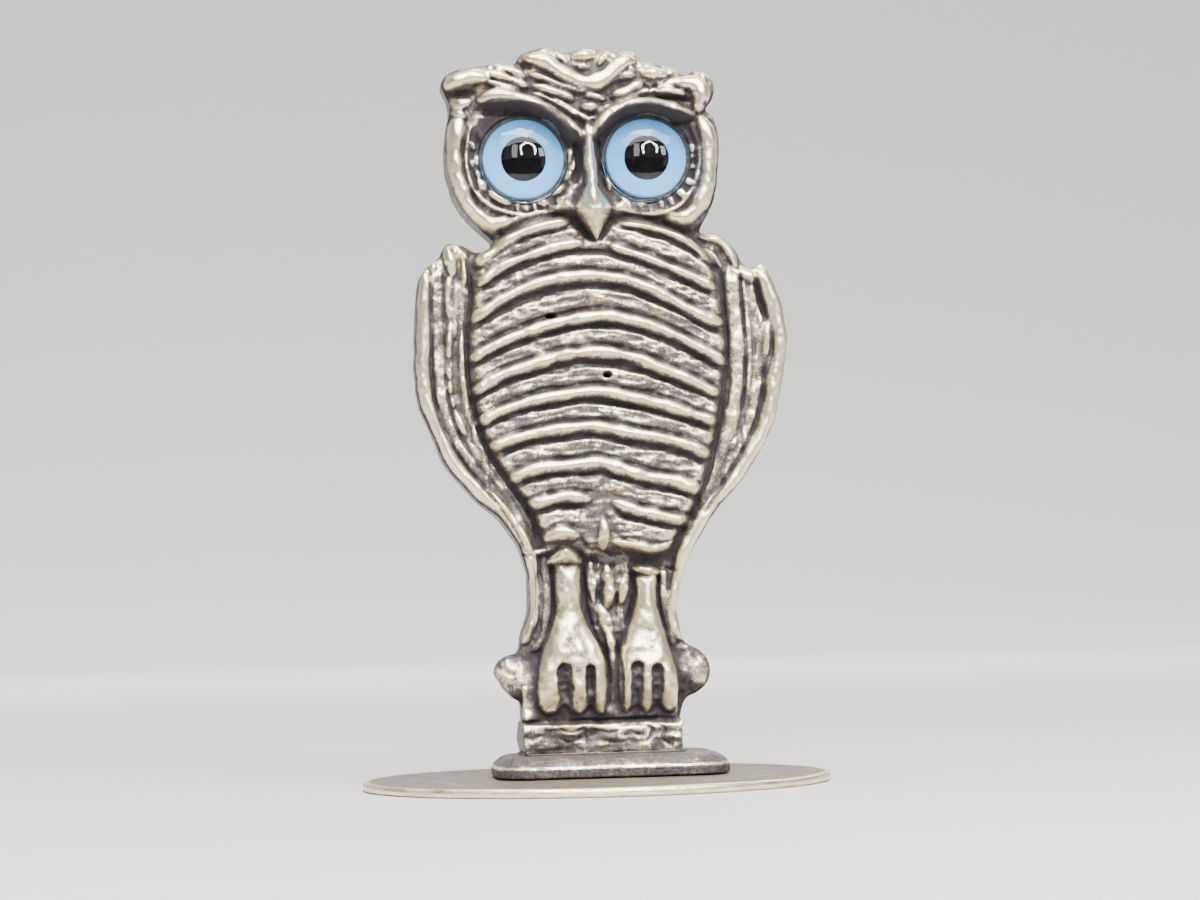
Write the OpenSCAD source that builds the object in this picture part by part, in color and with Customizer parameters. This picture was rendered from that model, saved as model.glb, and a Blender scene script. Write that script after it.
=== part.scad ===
// Cast white-metal owl with glass cabochon eyes, standing on a stepped foot and a thin round base.
// The owl faces -Y. The origin is at the centre of the base's underside, and +Z is up.
// A front view runs over X and Z, so outlines and strokes are given as [x, z] points in millimetres.

/* [Base] */
// Diameter of the round base
base_d = 42.4; // [38:0.1:48]
// Thickness of the round base
base_t = 0.85; // [0.6:0.05:2]
// Width of the oblong foot
foot_w = 21.1; // [20:0.1:24]
// Depth of the oblong foot, front to back
foot_depth = 13; // [11:0.1:14]
// Height of the oblong foot
foot_t = 1.95; // [1.8:0.05:3]
// Height of the slope round the foot's top edge
slope_drop = 1.1; // [0.8:0.1:1.5]
// Width of the slope round the foot's top edge
slope_w = 1.5; // [1:0.1:1.8]
// Radius of the foot's corners in plan
corner_r = 3.6; // [2.4:0.1:4.5]
// How far the foot sits to the right of the base's centre
foot_shift = 1.2; // [0:0.1:1.5]
// Thickness of a solder film
solder_t = 0.1; // [0.05:0.05:0.2]

/* [Casting] */
// Thickness of the flat body, front to back
body_t = 4.6; // [4:0.1:6]
// How far the breast stands in front of the body
breast_rise = 0.9; // [0.5:0.1:1.5]
// Radius of a breast rib
rib_r = 0.75; // [0.5:0.05:0.9]
// How far the face stands in front of the body
face_rise = 0.6; // [0.3:0.1:1]
// Diameter of the perch
perch_d = 4.6; // [4:0.1:5.2]
// Depth of the block under the perch, front to back
block_depth = 7; // [6:0.1:7.4]

/* [Eyes] */
// Diameter of a glass eye
eye_d = 8; // [7:0.1:8]
// Height of the domed part of a glass eye
dome_h = 2; // [1.5:0.1:2.5]
// Height of the straight edge round a glass eye
girdle_h = 0.5; // [0.3:0.1:0.8]
// Diameter of the painted iris
iris_d = 6.6; // [6:0.1:7.8]
// Diameter of the painted pupil
pupil_d = 3.5; // [2.5:0.1:4.5]
// Distance between the centres of the eyes
eye_spacing = 11.2; // [10.6:0.1:11.6]
// Height of the eyes above the table
eye_z = 56.5; // [56:0.1:57]
// How far the eyes look up, in degrees
eye_tilt = 5; // [0:1:10]

/* [Hidden] */
$fn = 48;
metal = [0.72, 0.70, 0.64];
solder_metal = [0.50, 0.50, 0.50];

// Heights of the stack
foot_z = base_t + solder_t;
foot_top = foot_z + foot_t;
casting_z = foot_top + solder_t;
perch_z = 9.9;

// Planes of the casting. y is negative towards the front.
body_front = -body_t / 2;
breast_front = body_front - breast_rise;
face_front = body_front - face_rise;

// Layers of an eye, measured out from the floor of its socket
cement_t = 0.3;
iris_t = 0.2;
pupil_t = 0.08;
socket_depth = 1.0;
socket_gap = 0.1;
face_centre_x = 0;

// The block under the perch: its width and the place of its middle
block_w = 14;
block_x = 0.5;

left = -1;
right = 1;

// ---- Curves ----

// One point of a smooth curve between b and c, at t from 0 to 1
function curve_at(a, b, c, d, t) =
  0.5 * (2 * b + (c - a) * t + (2 * a - 5 * b + 4 * c - d) * t * t
    + (3 * b - a - 3 * c + d) * t * t * t);

// A closed smooth curve through the points
function smooth_loop(p, steps = 2) =
  let (n = len(p))
  [for (i = [0 : n - 1], k = [0 : steps - 1])
    curve_at(p[(i + n - 1) % n], p[i], p[(i + 1) % n], p[(i + 2) % n], k / steps)];

// An open smooth curve through the points
function smooth_path(p, steps = 2) =
  let (n = len(p))
  [for (i = [0 : n - 2], k = [0 : steps - 1])
    curve_at(p[max(i - 1, 0)], p[i], p[i + 1], p[min(i + 2, n - 1)], k / steps), p[n - 1]];

// The unit vector square to a path at its point i
function across(p, i) =
  let (d = p[min(i + 1, len(p) - 1)] - p[max(i - 1, 0)])
  [-d[1], d[0]] / norm(d);

// The centre of the circle through three points
function circle_centre(a, b, c) =
  let (
    d = 2 * (a[0] * (b[1] - c[1]) + b[0] * (c[1] - a[1]) + c[0] * (a[1] - b[1])),
    aa = a * a, bb = b * b, cc = c * c
  )
  [(aa * (b[1] - c[1]) + bb * (c[1] - a[1]) + cc * (a[1] - b[1])) / d,
   (aa * (c[0] - b[0]) + bb * (a[0] - c[0]) + cc * (b[0] - a[0])) / d];

// ---- Solids from a front view ----

// Extrudes a front view from the plane y = front to the plane y = back
module slab(front, back) {
  translate([0, back, 0]) rotate([90, 0, 0]) linear_extrude(back - front) children();
}

// A flat-topped ridge along a smooth path
module ridge(points, width, front, back = 0) {
  path = smooth_path(points);
  n = len(path);
  slab(front, back) polygon(concat(
    [for (i = [0 : n - 1]) path[i] + across(path, i) * width / 2],
    [for (i = [n - 1 : -1 : 0]) path[i] - across(path, i) * width / 2]
  ));
}

// A round bar along the arc through three points of the front view
module arc_bar(a, b, c, r, y) {
  m = circle_centre(a, b, c);
  from = atan2(a[1] - m[1], a[0] - m[0]);
  to = atan2(c[1] - m[1], c[0] - m[0]);
  turn = (to - from + 540) % 360 - 180;
  translate([m[0], y, m[1]]) rotate([90, 0, 0]) rotate([0, 0, min(from, from + turn)])
    rotate_extrude(angle = abs(turn), $fn = 96)
      translate([norm(a - m), 0]) circle(r, $fn = 24);
}

// A bar with slightly fuller round ends between two points of space
module capsule(a, b, r) {
  d = b - a;
  for (p = [a, b]) translate(p) sphere(r, $fn = 32);
  translate(a) rotate([0, acos(d[2] / norm(d)), atan2(d[1], d[0])])
    cylinder(r = 0.95 * r, h = norm(d), $fn = 32);
}

// ---- The casting ----

body_outline = [
  [-6.8, 11.1], [-6.3, 14.1], [-6, 17.1], [-6.4, 20.5], [-7.6, 23.1], [-9.4, 24.9], [-11.6, 26.9],
  [-13.2, 29.3], [-14.6, 31.9], [-15.4, 35.1], [-15.7, 39.1], [-15.5, 43.6], [-14.9, 46.5], [-13.4, 48.3],
  [-12, 49.2], [-9.4, 48.7], [0.2, 50.6], [10.2, 49.7], [12.1, 49.5], [13.6, 48.1], [14.8, 46.7],
  [16.2, 46.9], [17.3, 44.7], [18.2, 41.5], [18, 37.7], [17.3, 33.5], [16, 30.3], [14.1, 27.5],
  [12.1, 25.3], [10.3, 22.9], [8.6, 19.7], [7.7, 16.9], [7.5, 14.5], [8, 11.1]
];

head_outline = [
  [-8.6, 49.1], [-10.7, 51.5], [-12.2, 54.1], [-12.6, 57.3], [-12.3, 60.7], [-11.4, 62.9], [-8.4, 64.7],
  [-5.4, 65.1], [-3.4, 66.6], [0.2, 66.9], [3.8, 66.4], [5.8, 65.1], [8.8, 64.1], [11, 62.7],
  [12.2, 59.9], [12.4, 56.5], [11.9, 52.9], [10.4, 50.1], [0.2, 49.7]
];

breast_outline = [
  [-10.2, 48], [-11.1, 43], [-11.1, 37], [-10.2, 32], [-8.2, 27.4], [-5.4, 23.6], [-4.6, 20.4], [5.8, 19.4],
  [8.2, 22.6], [10.2, 26.4], [11.6, 32], [12.5, 38], [12.3, 43], [11, 48.4], [0.6, 51]
];

// The left end, the crown and the right end of each breast rib, from the collar down
ribs = [
  [[-9.6, 48.2], [-6, 50], [-2.4, 50.9]],
  [[3, 50.6], [7, 49.2], [10.6, 46.8]],
  [[-10.2, 45.6], [0.4, 48.6], [11.4, 44.7]],
  [[-10.4, 42.1], [0.6, 46], [11.6, 41.5]],
  [[-10.4, 38.6], [0.9, 42.2], [11.8, 37.9]],
  [[-10.4, 35.5], [0.7, 38.8], [11.2, 35]],
  [[-9.9, 32.7], [0.3, 35.2], [10.8, 32.1]],
  [[-9, 30.7], [0.2, 32.1], [10.3, 29.2]],
  [[-7.4, 27.9], [0.2, 28.9], [9, 26.4]],
  [[-5.4, 24.9], [-3.4, 26], [-1.2, 25.8]],
  [[2.2, 25], [5.2, 24.9], [7.9, 23.7]],
  [[-4.4, 22.3], [-2.9, 23], [-1.5, 22.4]],
  [[1.9, 21.7], [4.2, 21.7], [6.2, 20.8]]
];

left_rim = [
  [-14.9, 46.2], [-15.2, 42], [-15.2, 38], [-14.7, 34], [-13.6, 31], [-11.4, 28],
  [-8.9, 25.3], [-7, 22.6], [-6.2, 20]
];
right_rim = [
  [15.9, 46], [16.9, 42.6], [17.3, 39.6], [16.8, 35], [15.7, 31.6], [13.6, 28.4],
  [11.3, 25.4], [9.4, 22.4], [7.9, 19]
];

// Lengthwise feathers of the wings, as distances in from the rim
wing_feathers = [1.5, 2.7];

// Moves its children to the floor of a socket, from the eye's own frame, in which the eye looks along +Z
module at_eye(side) {
  translate([face_centre_x + side * eye_spacing / 2, face_front + socket_depth, eye_z])
    rotate([90 - eye_tilt, 0, 0]) children();
}

module feathered_wing(rim, side) {
  ridge(rim, 1.2, body_front - 0.4);
  for (step = wing_feathers)
    ridge([for (p = rim) p - [side * step, 0.25 * step]], 0.7, body_front - 0.5);
}

module eye_ring(side) {
  at_eye(side) translate([0, 0, socket_depth]) rotate_extrude($fn = 64)
    translate([eye_d / 2 + 1, 0]) circle(0.6, $fn = 20);
}

module brow(side) {
  x = face_centre_x + side * eye_spacing / 2;
  arc_bar(
    [x - (side > 0 ? 4.6 : 3.6), side > 0 ? 59.6 : 61.2],
    [x, 61.8],
    [x + (side > 0 ? 4.6 : 4.4), side > 0 ? 61 : 59.6],
    0.8, face_front - 0.5
  );
}

module crest() {
  y = face_front + 0.6;
  capsule([-4.4, y, 65.3], [0, y - 0.6, 63.5], 0.85);
  capsule([0, y - 0.6, 63.5], [4, y, 65], 0.85);
  capsule([-9.4, y, 64], [-5.6, y - 0.3, 63.6], 0.7);
  capsule([-4.2, y - 0.4, 63.2], [-1, y - 0.6, 62], 0.6);
  capsule([2.6, y - 0.6, 62.3], [5.8, y - 0.3, 63.2], 0.6);
  capsule([5.9, y, 63.9], [8, y, 63.8], 0.7);
  capsule([0.2, y - 0.6, 61.4], [1, y - 0.7, 61.2], 0.7);
}

module ear_tufts() {
  capsule([-12, 0.3, 63.2], [-9.8, -0.6, 63.6], 1.15);
  capsule([10.5, 0.3, 62.6], [9.6, -1, 61], 1.15);
}

// A four-sided beak whose point hangs over the collar
module beak() {
  polyhedron(
    points = [[-1.2, face_front + 0.3, 52], [0.3, face_front + 0.3, 55.6], [1.8, face_front + 0.3, 51.8],
              [0.5, face_front + 0.3, 49], [0.4, -5.2, 51.2]],
    faces = [[0, 1, 2, 3], [1, 0, 4], [2, 1, 4], [3, 2, 4], [0, 3, 4]]
  );
}

module leg(x) {
  capsule([x, -2.2, 19.4], [x, -2.4, 12.6], 1.45);
  capsule([x - 0.8, -2.6, 12], [x + 0.8, -2.6, 12], 1.3);
  for (toe = [-1 : 1])
    capsule([x + 1.5 * toe, -3, 11], [x + 2 * toe, -2.9, 7], 0.85);
}

module perch() {
  capsule([block_x - 7.6, 0, perch_z], [block_x + 7.6, 0, perch_z], perch_d / 2);
}

module block() {
  translate([block_x - block_w / 2, -block_depth / 2, casting_z])
    cube([block_w, block_depth, perch_z - casting_z]);
}

module tail() {
  slab(body_front - 0.5, 0) polygon([[-1.3, 21], [2.2, 21], [1.9, 15.5], [1, 12.6], [0, 12.6], [-1, 15.5]]);
}

// The folded wings, the tail and the crown, as seen from behind
module back_relief() {
  top = body_t / 2;
  for (side = [left, right]) {
    ridge([[1 + side * 1.6, 46.5], [1 + side * 6.5, 41], [1 + side * 8, 34], [0.8 + side * 5.4, 27],
           [0.6 + side * 2.4, 20]], 0.9, 0, top + 0.5);
    ridge([[1 + side * 12.6, 45], [1 + side * 14.2, 39], [1 + side * 12.6, 33], [0.8 + side * 8.6, 26.5],
           [0.6 + side * 4.4, 20]], 0.9, 0, top + 0.5);
    ridge([[face_centre_x + side * 9.4, 60.5], [face_centre_x + side * 9, 56],
           [face_centre_x + side * 5.6, 51.6]], 0.9, 0, top + 0.5);
  }
  ridge([[-4.6, 64.2], [0.2, 62.4], [5, 63.6]], 0.9, 0, top + 0.5);
  slab(0, top + 0.6) polygon([[-1.6, 26], [2.8, 26], [3.6, 15.5], [0.6, 13.4], [-2.4, 15.5]]);
}

module casting_pit(x, z) {
  translate([x, breast_front + 0.6, z]) rotate([90, 0, 0]) cylinder(r = 0.22, h = 2, $fn = 16);
}

module owl_casting() {
  color(metal) difference() {
    union() {
      slab(body_front, body_t / 2) polygon(smooth_loop(body_outline));
      slab(face_front, body_t / 2) polygon(smooth_loop(head_outline));
      slab(breast_front, 0) polygon(smooth_loop(breast_outline));
      for (r = ribs) arc_bar(r[0], r[1], r[2], rib_r, breast_front);
      feathered_wing(left_rim, left);
      feathered_wing(right_rim, right);
      for (side = [left, right]) {
        eye_ring(side);
        brow(side);
      }
      crest();
      ear_tufts();
      beak();
      leg(-2.3);
      leg(4.9);
      back_relief();
      tail();
      perch();
      block();
    }
    for (side = [left, right]) at_eye(side) cylinder(d = eye_d + 2 * socket_gap, h = 6);
    casting_pit(-3.7, 42.4);
    casting_pit(1.2, 37);
  }
}

// ---- The eyes ----

module eye_cement(side) {
  color("dimgray") at_eye(side) cylinder(d = eye_d, h = cement_t);
}

module eye_iris(side) {
  color([0.55, 0.73, 0.88]) at_eye(side) translate([0, 0, cement_t]) difference() {
    cylinder(d = iris_d, h = iris_t);
    translate([0, 0, iris_t - pupil_t]) cylinder(d = pupil_d, h = 1);
  }
}

module eye_pupil(side) {
  color([0.02, 0.02, 0.02]) at_eye(side) translate([0, 0, cement_t + iris_t - pupil_t])
    cylinder(d = pupil_d, h = pupil_t);
}

module eye_glass(side) {
  dome_r = (eye_d * eye_d / 4 + dome_h * dome_h) / (2 * dome_h);
  color([0.9, 0.95, 1, 0.4]) at_eye(side) translate([0, 0, cement_t + iris_t]) intersection() {
    cylinder(d = eye_d, h = girdle_h + dome_h + 1);
    translate([0, 0, girdle_h + dome_h - dome_r]) sphere(dome_r, $fn = 96);
  }
}

// ---- Foot, base and solder ----

// Half of the foot's section, out to a distance from its middle
function half_section(reach) = [
  [0, 0], [reach, 0], [reach, foot_t - slope_drop], [reach - 0.25 * slope_w, foot_t - 0.55 * slope_drop],
  [reach - 0.65 * slope_w, foot_t - 0.15 * slope_drop], [reach - slope_w, foot_t], [0, foot_t]
];

// The foot's whole section, square to one of its straight sides
module section(reach) {
  polygon(half_section(reach));
  mirror([1, 0]) polygon(half_section(reach));
}

module oblong_foot() {
  dx = foot_w / 2 - corner_r;
  dy = foot_depth / 2 - corner_r;
  color(metal) translate([foot_shift, 0, foot_z]) union() {
    translate([-dx, 0, 0]) rotate([90, 0, 90]) linear_extrude(2 * dx) section(foot_depth / 2);
    translate([0, dy, 0]) rotate([90, 0, 0]) linear_extrude(2 * dy) section(foot_w / 2);
    for (x = [-dx, dx], y = [-dy, dy]) translate([x, y, 0])
      rotate_extrude($fn = 64) polygon(half_section(corner_r));
  }
}

module round_base() {
  color(metal) cylinder(d = base_d, h = base_t, $fn = 96);
}

module foot_solder() {
  color(solder_metal) translate([block_x - block_w / 2 - 0.2, -block_depth / 2 - 0.2, foot_top])
    cube([block_w + 0.4, block_depth + 0.4, solder_t]);
}

module base_solder() {
  color(solder_metal) translate([foot_shift - foot_w / 2 + 1.4, 1.4 - foot_depth / 2, base_t])
    cube([foot_w - 2.8, foot_depth - 2.8, solder_t]);
}

owl_casting();
oblong_foot();
round_base();
foot_solder();
base_solder();
eye_glass(left);  // left_eye_glass
eye_iris(left);  // left_eye_iris
eye_pupil(left);  // left_eye_pupil
eye_cement(left);  // left_eye_cement
eye_glass(right);  // right_eye_glass
eye_iris(right);  // right_eye_iris
eye_pupil(right);  // right_eye_pupil
eye_cement(right);  // right_eye_cement
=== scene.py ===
"""Cast pewter owl with glass eyes, on an oblong foot and a round base.

The casting is sculpted the way its mould was cut: one relief for the front half and one for the back,
each made of strokes for its feathers, and the two halves closed on each other along the outline.
Strokes and outlines are in millimetres, and every finished piece is in metres in the frame.
"""
import math

import bpy
import numpy as np
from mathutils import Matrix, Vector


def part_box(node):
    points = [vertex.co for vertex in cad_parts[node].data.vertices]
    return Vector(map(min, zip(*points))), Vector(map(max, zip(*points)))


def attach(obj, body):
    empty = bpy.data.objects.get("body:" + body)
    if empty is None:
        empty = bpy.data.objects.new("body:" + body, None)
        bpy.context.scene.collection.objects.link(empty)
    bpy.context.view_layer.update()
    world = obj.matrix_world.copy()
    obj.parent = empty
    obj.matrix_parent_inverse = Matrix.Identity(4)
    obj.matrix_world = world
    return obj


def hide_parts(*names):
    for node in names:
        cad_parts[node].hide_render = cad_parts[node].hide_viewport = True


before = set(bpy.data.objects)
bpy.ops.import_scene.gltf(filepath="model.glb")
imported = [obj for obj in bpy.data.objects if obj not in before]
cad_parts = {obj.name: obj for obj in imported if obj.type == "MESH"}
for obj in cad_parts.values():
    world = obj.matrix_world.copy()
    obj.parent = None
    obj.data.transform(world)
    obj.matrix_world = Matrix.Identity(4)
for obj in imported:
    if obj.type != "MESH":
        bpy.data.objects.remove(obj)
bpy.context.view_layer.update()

import openvdb
from bpy.props import FloatProperty, FloatVectorProperty, PointerProperty
from mathutils import Matrix, Vector

bl_info = {
    "name": "Cast Owl",
    "version": (1, 0, 0),
    "blender": (4, 5, 0),
    "location": "3D View > Sidebar > Owl",
    "description": "Makes a small cast owl with glass eyes, on its foot and base",
    "category": "Add Mesh",
}

MM = 0.001
SIDES = ("left", "right")


def size_mm(node):
    """A CAD node's lowest and highest corners, in millimetres."""
    low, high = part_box(node)
    return np.array(low) / MM, np.array(high) / MM


def middle_mm(node):
    low, high = size_mm(node)
    return (low + high) / 2


# ---------------------------------------------------------------- outlines and strokes of the relief

# The parting line between the two halves of the mould, clockwise from the top of the head
OUTLINE = [
    (-1.6, 66.3), (0, 66.7), (1.4, 66.5), (2.6, 66.3), (4.0, 66.4), (4.9, 65.9), (5.3, 65.4), (6.4, 65.2),
    (7.8, 64.9), (8.7, 64.4), (9.3, 64.1), (10.1, 64.5), (11.0, 64.3), (11.7, 63.7), (11.9, 62.8),
    (11.6, 61.7), (11.1, 60.9), (11.7, 60.3), (12.1, 59.2), (12.2, 57), (12.1, 54.8), (11.7, 52.8),
    (11.1, 51.5), (10.5, 50.4), (10.5, 49.8), (11.6, 49.7), (12.7, 49.1), (13.6, 48.0), (14.2, 46.9),
    (15.1, 46.5), (15.8, 46.8), (16.5, 46.2), (17.1, 44.6), (17.7, 42.8), (18.0, 40.6), (17.9, 38.4),
    (17.4, 36), (16.9, 33.4), (16.3, 31.6), (15.3, 29.9), (14.2, 28.0), (12.7, 26.2), (11.2, 24.6),
    (9.9, 22.6), (8.8, 20.7), (8.0, 18.8), (7.5, 17), (7.3, 15.4), (7.6, 13.8), (8.1, 12.5), (9.2, 11.9),
    (10.0, 11.0), (10.3, 9.8), (10.0, 8.8), (9.1, 8.0), (8.1, 7.5), (7.6, 6.8), (7.35, 5.4), (7.3, 4.3),
    (7.3, 3.4), (7.25, 2.95), (6.9, 2.85), (6.2, 2.85), (-5.9, 2.85), (-6.6, 2.85), (-6.95, 2.95),
    (-7.0, 3.4), (-7.1, 4.3), (-7.0, 6), (-7.1, 7.4), (-7.8, 7.9), (-8.7, 9), (-9.3, 10.1), (-9.0, 11.1),
    (-8.1, 11.7), (-7.2, 12.0), (-6.8, 13.4), (-6.3, 15.2), (-6.1, 17.2), (-6.3, 19.2), (-6.8, 21),
    (-7.7, 22.9), (-9.2, 24.6), (-11.2, 26.4), (-12.9, 28.4), (-14.1, 30.6), (-15.0, 32.6), (-15.7, 35),
    (-15.9, 38), (-15.9, 41), (-15.7, 44), (-15.2, 46.2), (-14.4, 47.2), (-13.5, 47.9), (-13.0, 48.8),
    (-12.2, 49.1), (-11.3, 48.8), (-10.3, 48.2), (-9.2, 48.3), (-8.7, 49.1), (-9.5, 50.0), (-11.1, 51.5),
    (-12.0, 53), (-12.6, 55), (-12.8, 57.4), (-12.6, 59.4), (-12.3, 60.9), (-12.4, 61.9), (-13.0, 63.2),
    (-12.7, 64.2), (-11.6, 64.7), (-9.6, 65.0), (-7.9, 65.3), (-6.3, 65.2), (-5.9, 65.9), (-5.1, 66.4),
    (-3.6, 66.8), (-2.5, 66.5),
]

# The panel that the breast feathers lie on
BREAST = [
    (-9.7, 48.6), (-10.2, 46), (-10.8, 42), (-10.8, 38), (-10.3, 34), (-9.6, 31), (-7.9, 27.6),
    (-5.9, 24.8), (-4.9, 22.4), (-4.2, 20.6), (1, 20.0), (6.8, 19.8), (8.2, 22.2), (9.6, 24.4),
    (10.8, 27.4), (11.7, 30.6), (12.3, 34), (12.9, 38), (12.9, 41.5), (12.4, 44.6), (11.4, 47.6), (8.6, 50),
    (3, 51), (0.8, 49.4), (-2, 51.4), (-6, 50.6),
]

# The breast feathers: half width, height, and points from left to right
RIBS = [
    (0.62, 0.75, [(-9.9, 47.0), (-8.4, 48.3), (-6.4, 49.5), (-4, 50.3), (-1.4, 50.9)]),
    (0.55, 0.7, [(3.1, 50.9), (5.8, 50.4), (8.6, 49.4), (10.6, 48.1), (11.9, 46.9)]),
    (0.5, 0.72, [(-9.8, 45.1), (-7.6, 46.7), (-5, 47.7), (-2.6, 48.4), (-0.4, 48.8)]),
    (0.46, 0.66, [(2.3, 48.4), (4.6, 47.6), (7, 46.7), (9.6, 45.6), (12, 44.5)]),
    (0.6, 0.8, [(-10.4, 41.9), (-8, 43.5), (-5, 44.9), (-2, 45.6), (1, 45.7), (4, 45.2), (7, 43.9),
        (10, 42.2), (12.5, 41.2)]),
    (0.58, 0.8, [(-10.6, 38.3), (-8, 39.7), (-5, 40.8), (-2, 41.6), (1.5, 42), (4, 41.6), (7, 40.6),
        (10, 39.2), (12.8, 37.5)]),
    (0.6, 0.8, [(-10.6, 35.2), (-8, 36.7), (-5, 37.7), (-2, 38.5), (1, 38.7), (4, 38.2), (7, 37), (9.4, 36),
        (11.8, 34.8)]),
    (0.6, 0.8, [(-10, 32.5), (-8, 33.5), (-5, 34.4), (-2, 34.9), (1, 35.1), (4, 34.5), (7.4, 33.6),
        (11.6, 32.2)]),
    (0.58, 0.78, [(-9.1, 30.2), (-7, 30.9), (-5, 31.4), (-2, 31.8), (0.4, 31.9), (4, 31.2), (8, 30.4),
        (11.1, 29.1)]),
    (0.66, 0.78, [(-7.2, 27.2), (-6, 27.8), (-4, 28.3), (-1, 28.4), (1, 28.6), (3, 27.9), (5, 27.3),
        (8, 26.7), (10, 25.9)]),
    (0.62, 0.7, [(-6, 24.8), (-4, 25.3), (-2, 25.6), (-0.2, 25.3)]),
    (0.62, 0.74, [(2.2, 24.9), (4, 24.2), (6, 23.7), (9.1, 23.0)]),
    (0.72, 0.74, [(-4.2, 21.8), (-2.8, 22.3), (-1.5, 22)]),
    (0.42, 0.6, [(2.1, 21.3), (4.2, 20.9), (5.6, 20.6), (7.0, 20.9)]),
]

# Every other stroke of the front: half width, height, how far forward it is drawn, and its points.
# A stroke with two half widths changes evenly from the first to the second.
WINGS = [
    (0.66, 0.22, 2.6, [(-13.7, 46.4), (-13.7, 42), (-13.65, 37), (-13.2, 33.4), (-12.3, 30.6),
        (-11.0, 28.4), (-9.5, 26.5), (-8.0, 24.6), (-6.9, 22.8), (-6.0, 20.8)]),
    (0.36, 0.5, 2.6, [(-12.6, 45.6), (-12.75, 43.8), (-12.6, 42.2)]),
    (0.26, 0.44, 2.6, [(-11.9, 45.2), (-12.1, 42.6), (-12.1, 40.2)]),
    (0.3, 0.52, 2.6, [(-12.5, 41.4), (-12.7, 39.6), (-12.75, 38.4)]),
    (0.34, 0.58, 2.6, [(-12.75, 37.5), (-12.7, 36.6)]),
    (0.34, 0.58, 2.6, [(-12.7, 35.9), (-12.65, 35.3)]),
    (0.32, 0.56, 2.6, [(-12.5, 34.7), (-12.4, 34.0)]),
    (0.4, 0.56, 2.6, [(-12.2, 33.4), (-11.8, 32.3), (-11.4, 31.4)]),
    (0.3, 0.34, 2.6, [(-11.4, 46.2), (-11.5, 42), (-11.5, 38), (-11.2, 34.4), (-10.6, 31.6), (-9.4, 28.8)]),
    (0.32, 0.3, 2.6, [(-10.9, 30.4), (-9.6, 28.4), (-8.2, 26.4), (-7.0, 24.4), (-6.1, 22.6), (-5.4, 20.6)]),
    (0.28, 0.26, 2.6, [(-9.0, 28.6), (-7.8, 26.9), (-6.5, 24.9), (-5.5, 22.9)]),
    (0.74, 0.42, 2.6, [(13.3, 46.2), (13.5, 43), (13.75, 39), (13.6, 35.5), (13.1, 32.6), (12.2, 30.0),
        (11.2, 27.4), (10.2, 25.2)]),
    (0.28, 0.3, 2.6, [(14.5, 45.4), (14.75, 42), (14.9, 38.5), (14.7, 35)]),
    (0.46, 0.24, 2.6, [(15.4, 44.6), (15.7, 41.4), (15.75, 38), (15.3, 34.6), (14.6, 31.8), (13.6, 29.6),
        (12.5, 27.6), (11.4, 25.8)]),
    (0.36, 0.6, 2.6, [(13.4, 33.2), (13.35, 32.0)]),
    (0.3, 0.52, 2.6, [(13.4, 30.6), (13.0, 29.6)]),
    (0.34, 0.6, 2.6, [(16.6, 41.0), (16.5, 39.4), (16.4, 38.2)]),
    (0.4, 0.8, 2.8, [(10.6, 49.2), (12.2, 48.9), (13.2, 47.9), (13.9, 46.4)]),
    (0.3, 0.6, 2.8, [(10.4, 48.0), (11.6, 47.6), (12.5, 46.4)]),
    (0.66, 0.85, 2.6, [(-12.7, 48.4), (-12.4, 47.2), (-12.2, 46.1)]),
    (0.34, 0.6, 2.6, [(-11.1, 48.0), (-11.1, 46.6), (-11.2, 45.0)]),
    (0.3, 0.5, 2.6, [(-13.9, 47.4), (-14.0, 46.2)]),
]

# The strips outside the shins, the tail between them, and the cuffs over them
LEGS = [
    (0.52, 0.5, 2.4, [(-4.5, 19.9), (-4.35, 18.0), (-4.2, 16.2), (-4.35, 14.2), (-4.8, 12.6),
        (-5.6, 11.8)]),
    (0.22, 0.35, 2.4, [(-5.1, 18.6), (-5.0, 16.6), (-5.1, 14.6)]),
    (0.5, 0.5, 2.4, [(6.4, 18.8), (6.3, 16.6), (6.5, 15), (6.9, 13.2), (7.2, 12.0)]),
    (0.45, 0.5, 2.4, [(-0.3, 19.6), (-0.2, 17.8), (0.0, 16.0)]),
    (0.3, 0.45, 2.4, [(0.45, 19.4), (0.4, 18.2), (0.45, 17.0)]),
    (0.46, 0.55, 2.4, [(2.8, 19.4), (2.8, 17.6), (2.4, 15.8)]),
    (0.3, 0.45, 2.4, [(2.15, 19.3), (2.1, 18.0), (2.05, 16.8)]),
    (0.74, 1.2, 2.6, [(1.25, 19.0), (1.4, 17.4), (1.3, 15.6)]),
    (0.42, 0.55, 2.4, [(-0.9, 20.3), (0.2, 20.2), (1.6, 19.7), (3.1, 19.8)]),
    (0.6, 0.45, 2.4, [(0.6, 15.4), (1.1, 13.8), (1.4, 12.4)]),
    (0.55, 1.1, 3.0, [(1.3, 13.2), (1.6, 11), (1.7, 8.6), (1.7, 6.4)]),
    (0.9, 2.1, 3.2, [(-3.9, 19.7), (-2.6, 20.1), (-1.3, 19.7)]),
    (0.65, 2.1, 3.2, [(3.9, 18.9), (5.0, 18.7), (6.0, 18.5)]),
    (0.34, 0.7, 3.0, [(-6.0, 20.4), (-4.8, 20.6), (-3.6, 20.7)]),
    (0.55, 0.6, 3.0, [(0.9, 23.4), (0.95, 22.2), (0.8, 20.8)]),
]

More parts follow.
